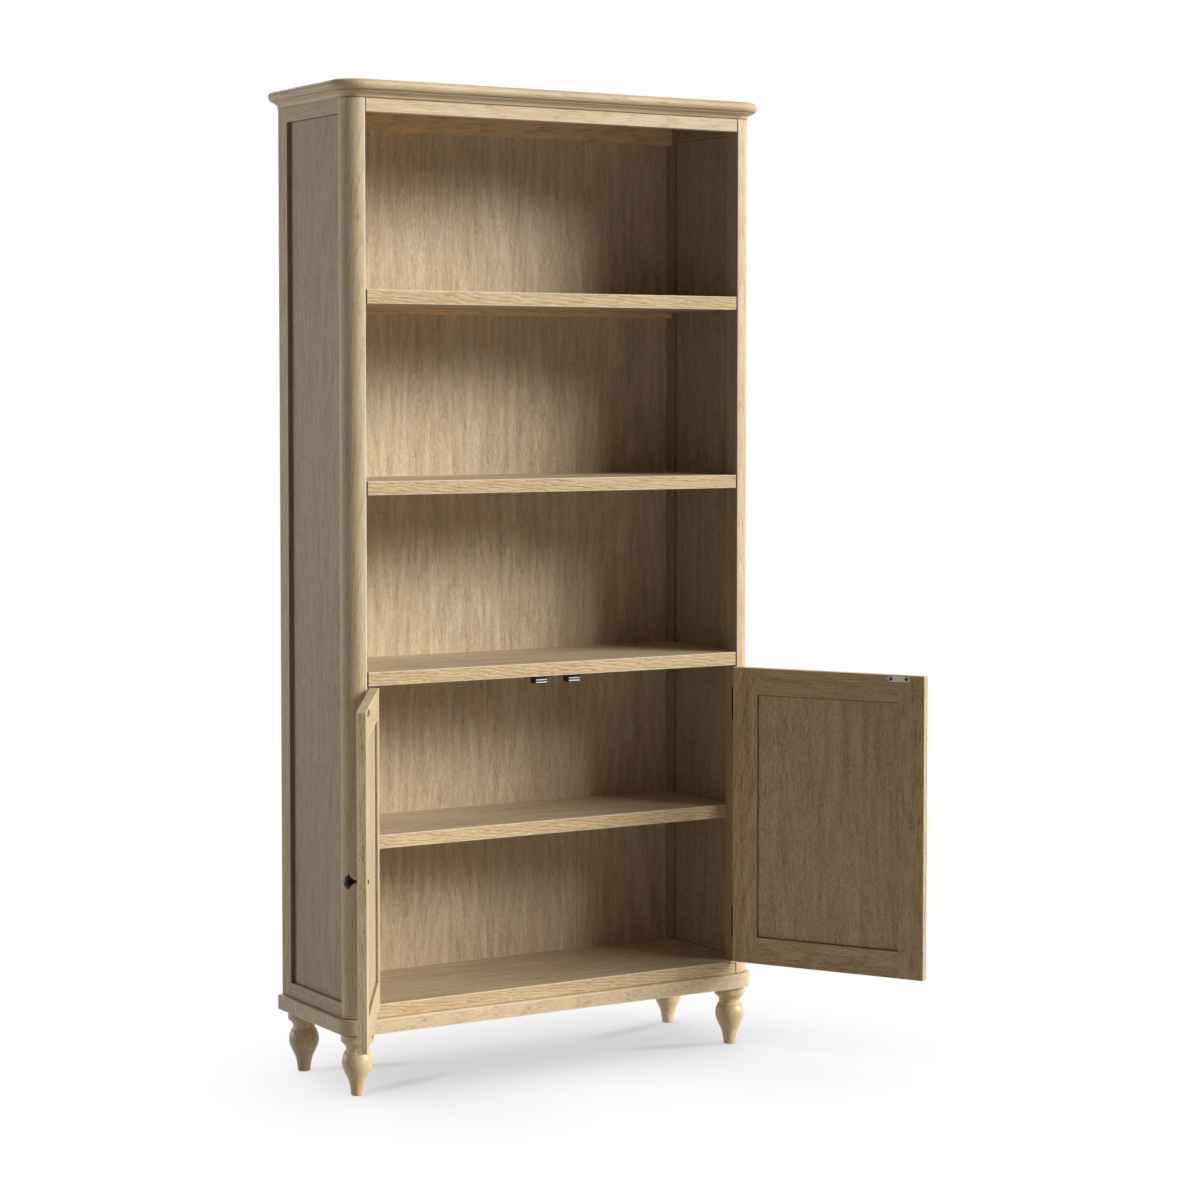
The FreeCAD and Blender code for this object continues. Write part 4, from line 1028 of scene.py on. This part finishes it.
@dataclass
class Doors:
    """Both framed doors of the cupboard, which stand swung open at rest, with their turned knobs."""

    solid: Oak = DOOR_OAK
    pale: Oak = PALE_DOOR_OAK
    veneer: Oak = DOOR_VENEER
    rest_angle: float = math.radians(120.0)
    hinge_x_mm: float = 414.0
    hinge_y_mm: float = 33.793
    knob_x_mm: float = 26.0
    face_y_mm: float = 36.593
    knob_z_mm: float = 474.25
    thickness_mm: float = 17.5
    tongue_mm: float = 7.5
    bolt_radius_mm: float = 2.0
    bolt_in_knob_mm: float = 12.0
    bolt_head_radius_mm: float = 4.5
    bolt_head_rim_mm: float = 0.8
    bolt_head_crown_mm: float = 2.2
    bolt_sides: int = 32
    # Radius and reach of points on the knob, and of the centres of its rim's and its dome's arcs
    knob_base_mm: tuple[Pair, ...] = ((0.0, 0.0), (5.5, 0.0), (5.5, 1.2))
    knob_waist_mm: tuple[Pair, ...] = ((5.5, 1.2), (3.92, 2.84), (3.2, 5.0))
    knob_back_mm: tuple[Pair, ...] = ((3.2, 5.0), (7.06, 10.54), (12.62, 14.38))
    rim_centre_mm: Pair = (10.5, 16.5)
    rim_radius_mm: float = 3.0
    rim_start: float = 135.0
    dome_centre_mm: Pair = (0.0, 9.679)
    dome_radius_mm: float = 15.521
    dome_start: float = 57.0
    knob_sides: int = 48
    # Samples along the knob's waist, back, rim and dome, and along the bolt's dome
    knob_samples: tuple[int, ...] = (8, 12, 12, 14)
    bolt_samples: int = 10

    def knob_outline(self) -> np.ndarray:
        """The knob's turned outline: base, waist, flared back, rolled rim and dome.

        Returns:
            Radius and reach in millimetres from its seat on the door.
        """
        waist, back, rim, dome = self.knob_samples
        return np.concatenate([
            self.knob_base_mm,
            smooth_run(np.array(self.knob_waist_mm), waist)[1:],
            smooth_run(np.array(self.knob_back_mm), back)[1:],
            arc(self.rim_centre_mm, self.rim_radius_mm, self.rim_start, self.dome_start, rim),
            arc(self.dome_centre_mm, self.dome_radius_mm, self.dome_start, 0.0, dome)[1:]])

    def bolt_outline(self) -> np.ndarray:
        """The knob bolt's turned outline: shank and domed head.

        Returns:
            Radius and reach in millimetres behind the door's outer face, from inside the knob to the head.
        """
        rim = self.bolt_head_radius_mm
        rise = self.bolt_head_crown_mm - self.bolt_head_rim_mm
        dome = (rim ** 2 + rise ** 2) / (2 * rise)
        crown = self.thickness_mm + self.bolt_head_crown_mm
        lean = math.degrees(math.asin(rim / dome))
        start = -self.bolt_in_knob_mm
        return np.concatenate([
            [[0.0, start], [self.bolt_radius_mm, start], [self.bolt_radius_mm, self.thickness_mm],
             [rim, self.thickness_mm]],
            arc((0.0, crown - dome), dome, lean, 0.0, self.bolt_samples)])

    def build(self, finisher: Finisher) -> None:
        """Turn each door's knob and bolt, and give its frame, panel and fittings their finish.

        Args:
            finisher: dresses the pieces.
        """
        around = PANEL_SEAM.at(*ENDS, *UPRIGHT_ENDS, tucked_mm=(self.tongue_mm, 0.0, self.tongue_mm))
        for side, way, framing, outer, inner in (
                ("right", 1, self.solid, Side.LEFT, Side.RIGHT),
                ("left", -1, self.pale, Side.RIGHT, Side.LEFT)):
            turn = way * self.rest_angle
            self._fit_knob(finisher, side, way, turn)
            # Each stile and rail gets painted shade on its wall beside the panel.
            for stile, wall in (("hinge_stile", outer), ("meeting_stile", inner)):
                finisher.wood(f"{side}_{stile}", framing, Lay.UPRIGHT_FRONT, turn, seams=(PANEL_WALL_SHADE.at(wall),))
            for rail, wall in (("door_top_rail", Side.FOOT), ("door_bottom_rail", Side.TOP)):
                finisher.wood(f"{side}_{rail}", framing, Lay.ACROSS_FRONT, turn, seams=(PANEL_WALL_SHADE.at(wall),))
            finisher.wood(f"{side}_door_panel", self.veneer, Lay.UPRIGHT_FRONT, turn, seams=(around,))
            finisher.metal(f"{side}_strike_plate", NICKEL_STEEL)
            finisher.metal(f"{side}_door_hinge_leaves", ANTIQUED_STEEL)
            finisher.metal(f"{side}_door_screws", SCREW_STEEL)

    def _fit_knob(self, finisher: Finisher, side: str, way: int, turn: float) -> None:
        """Turn one door's knob and bolt and swing them with the door.

        Args:
            finisher: dresses the new pieces.
            side: the door.
            way: 1 for the right door and -1 for the left.
            turn: how far the door stands open about the vertical, in radians.
        """
        hinge = Matrix.Translation((way * self.hinge_x_mm * MM, self.hinge_y_mm * MM, 0.0))
        seat = Matrix.Translation((way * self.knob_x_mm * MM, self.face_y_mm * MM, self.knob_z_mm * MM))
        swung = hinge @ Matrix.Rotation(turn, 4, "Z") @ hinge.inverted() @ seat
        outward = Matrix.Rotation(math.pi / 2, 4, "X")
        inward = Matrix.Rotation(-math.pi / 2, 4, "X")
        knob = turned_piece(f"turned_{side}_knob", self.knob_outline(), self.knob_sides, swung @ outward)
        bolt = turned_piece(f"domed_{side}_knob_bolt", self.bolt_outline(), self.bolt_sides, swung @ inward)
        for piece, node, slot, finish in (
                (knob, f"{side}_knob", "dark_bronze", DARK_BRONZE),
                (bolt, f"{side}_knob_bolt", "bright_steel", BLUED_STEEL)):
            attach(piece, f"{side}_door")
            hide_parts(node)
            finisher.pieces[piece.name] = piece
            finisher.metal(piece.name, finish)


@dataclass
class Fittings:
    """Hinges, screws, bolts, pins and catches of the carcass."""

    hinge: MetalFinish = ANTIQUED_STEEL
    screw: MetalFinish = SCREW_STEEL
    bright: MetalFinish = ZINC_STEEL
    catch: MetalFinish = CATCH_PLASTIC

    def dress(self, finisher: Finisher) -> None:
        """Give each fitting its finish.

        Args:
            finisher: dresses the fittings.
        """
        for finish, names in (
                (self.hinge, ("frame_hinge_leaves", "hinge_pins")), (self.screw, ("case_screws",)),
                (self.bright, ("foot_bolts", "shelf_pins", "catch_poles")),
                (self.catch, ("right_catch", "left_catch"))):
            for name in names:
                finisher.metal(name, finish)


@dataclass
class Studio:
    """Pale floor, white surround, soft lamps and the camera."""

    camera_place: Triple = (-2.8464, -4.7996, 1.3236)
    camera_heading: float = 0.5461
    camera_pitch: float = math.radians(-2.694)
    camera_lens: float = 87.24
    camera_shift_y: float = -0.06
    floor_reach: float = 40.0
    floor_white: str = "#C6C6C6"
    shade_depth: float = 0.46
    shade_reach: float = 0.45
    shade_core: float = 0.45
    shade_samples: int = 8
    shade_middle: Triple = (0.1, 0.08, 0.0)
    shade_half_size: Triple = (0.87, 0.75, 1.0)
    streak_depth: float = 0.12
    streak_half_size: Triple = (0.17, 0.035, 1.0)
    streak_away: float = 0.12
    case_middle: Pair = (0.0, 0.186)
    aim: Triple = (0.0, 0.1, 1.0)

    def build(self) -> None:
        """Make the floor, the surround, the lamps and the camera."""
        self._floor()
        self._surround()
        self._lamp("key_sun", "SUN", azimuth=52.0, height=20.0, energy=2.42, angle=math.radians(24.0))
        self._lamp("front_sun", "SUN", azimuth=34.0, height=28.0, energy=1.12, angle=math.radians(20.0))
        self._lamp("side_lamp", "AREA", azimuth=-137.0, height=1.0, distance=8.0, energy=101.0,
                   shape="RECTANGLE", size=2.0, size_y=2.0)
        self._lamp("rear_lamp", "AREA", azimuth=172.0, height=25.0, distance=5.0, energy=90.0,
                   shape="RECTANGLE", size=2.0, size_y=1.6)
        self._camera()

    def _floor(self) -> None:
        """A wide matt white floor, pure white to the eye but for the soft shade under and by the bookcase."""
        reach = self.floor_reach
        mesh = bpy.data.meshes.new("studio_floor")
        outline = [(-reach, -reach, 0), (reach, -reach, 0), (reach, reach, 0), (-reach, reach, 0)]
        mesh.from_pydata(outline, [], [(0, 1, 2, 3)])
        floor = into_scene("studio_floor", mesh)
        material = bpy.data.materials.new("matt_white_floor")
        tree = blank(material)
        place = add(tree, "TexCoord").outputs["Object"]
        depth = self._patch(tree, place, self.shade_middle, heading=0.0, half_size=self.shade_half_size,
                            core=self.shade_core, share=self.shade_depth)
        sky = add(tree, "AmbientOcclusion", {"Distance": self.shade_reach}, samples=self.shade_samples)
        hidden = add(tree, "Math", (1.0, sky.outputs["AO"]), "SUBTRACT")
        shade = add(tree, "Math", (hidden, depth), "MULTIPLY")
        for name in FOOT_NAMES:
            foot = foot_middle(name).xy
            towards = (Vector(self.case_middle) - foot).normalized()
            middle = (foot + self.streak_away * towards).to_3d()
            streak = self._patch(tree, place, middle, heading=math.atan2(towards.y, towards.x),
                                 half_size=self.streak_half_size, core=0.0, share=self.streak_depth)
            shade = add(tree, "Math", (shade, streak), "ADD")
        glow = add(tree, "Math", (1.0, shade), "SUBTRACT")
        matt = add(tree, "BsdfDiffuse", {"Color": linear(self.floor_white)})
        shown = add(tree, "Emission", {"Color": linear(WHITE), "Strength": glow})
        surface = add(tree, "MixShader", (self._seen(tree), matt, shown))
        add(tree, "OutputMaterial", {"Surface": surface})
        mesh.materials.append(material)

    @staticmethod
    def _patch(tree: Tree, place: Socket, middle: Vector | Triple, heading: float, half_size: Triple,
               core: float, share: float) -> Node:
        """A soft oval on the floor.

        Args:
            tree: the floor's nodes.
            place: coordinates on the floor.
            middle: the oval's middle.
            heading: the direction of its length in radians.
            half_size: its half length and half width.
            core: how far its full share reaches, as a share of the half size.
            share: its value in the middle.

        Returns:
            The share in the core, falling smoothly to 0 at the oval's edge.
        """
        local = add(tree, "Mapping", {
            "Vector": place, "Location": middle, "Rotation": (0.0, 0.0, heading), "Scale": half_size},
            vector_type="TEXTURE")
        distance = add(tree, "VectorMath", (local,), "LENGTH")
        return fade_in(tree, distance.outputs["Value"], (1.0, core), share)

    @staticmethod
    def _seen(tree: Tree) -> Node:
        """Which rays show a surface.

        Args:
            tree: the nodes of the floor or the surround.

        Returns:
            The node that gives 1 for rays to the camera, in gloss or through glass, otherwise 0.
        """
        ray = add(tree, "LightPath")
        seen = add(tree, "Math", (ray.outputs["Is Camera Ray"], ray.outputs["Is Glossy Ray"]), "MAXIMUM")
        return add(tree, "Math", (seen, ray.outputs["Is Transmission Ray"]), "MAXIMUM")

    def _surround(self) -> None:
        """A white surround that is seen and reflected, and that lights nothing by itself."""
        world = bpy.data.worlds.new("white_surround")
        bpy.context.scene.world = world
        tree = blank(world)
        light = add(tree, "Background", {"Color": linear(WHITE), "Strength": self._seen(tree)})
        add(tree, "OutputWorld", {"Surface": light})

    def _lamp(self, name: str, kind: str, azimuth: float, height: float, distance: float = 0.0,
              **settings: object) -> None:
        """A soft lamp that faces the middle of the bookcase.

        Args:
            name: the lamp's name.
            kind: SUN for even light from one side of the sky, or AREA for a panel.
            azimuth: degrees to the right of the front.
            height: degrees above the level.
            distance: metres from the middle, which a sun doesn't need.
            settings: the lamp's own attributes, such as its energy and its size in metres.
        """
        turn, lift = math.radians(azimuth), math.radians(height)
        towards = Vector((math.sin(turn) * math.cos(lift), -math.cos(turn) * math.cos(lift), math.sin(lift)))
        data = bpy.data.lights.new(name, kind)
        for setting, value in settings.items():
            setattr(data, setting, value)
        lamp = into_scene(name, data)
        lamp.location = Vector(self.aim) + distance * towards
        lamp.rotation_euler = towards.to_track_quat("Z", "Y").to_euler()

    def _camera(self) -> None:
        """The camera, to the left and above the middle of the bookcase, looking slightly down."""
        data = bpy.data.cameras.new("camera")
        data.lens = self.camera_lens
        data.shift_y = self.camera_shift_y
        camera = into_scene("camera", data)
        camera.location = self.camera_place
        camera.rotation_euler = (math.pi / 2 + self.camera_pitch, 0.0, -self.camera_heading)
        bpy.context.scene.camera = camera


def main() -> None:
    """Load the frame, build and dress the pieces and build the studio."""
    logging.basicConfig(level=logging.INFO, format="%(name)s: %(message)s")
    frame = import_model()
    bpy.context.scene.view_settings.view_transform = "Standard"
    finisher = Finisher(dict(frame["nodes"]))
    Feet().build(finisher)
    Case().dress(finisher)
    Doors().build(finisher)
    Fittings().dress(finisher)
    Studio().build()


if __name__ == "__main__":
    main()
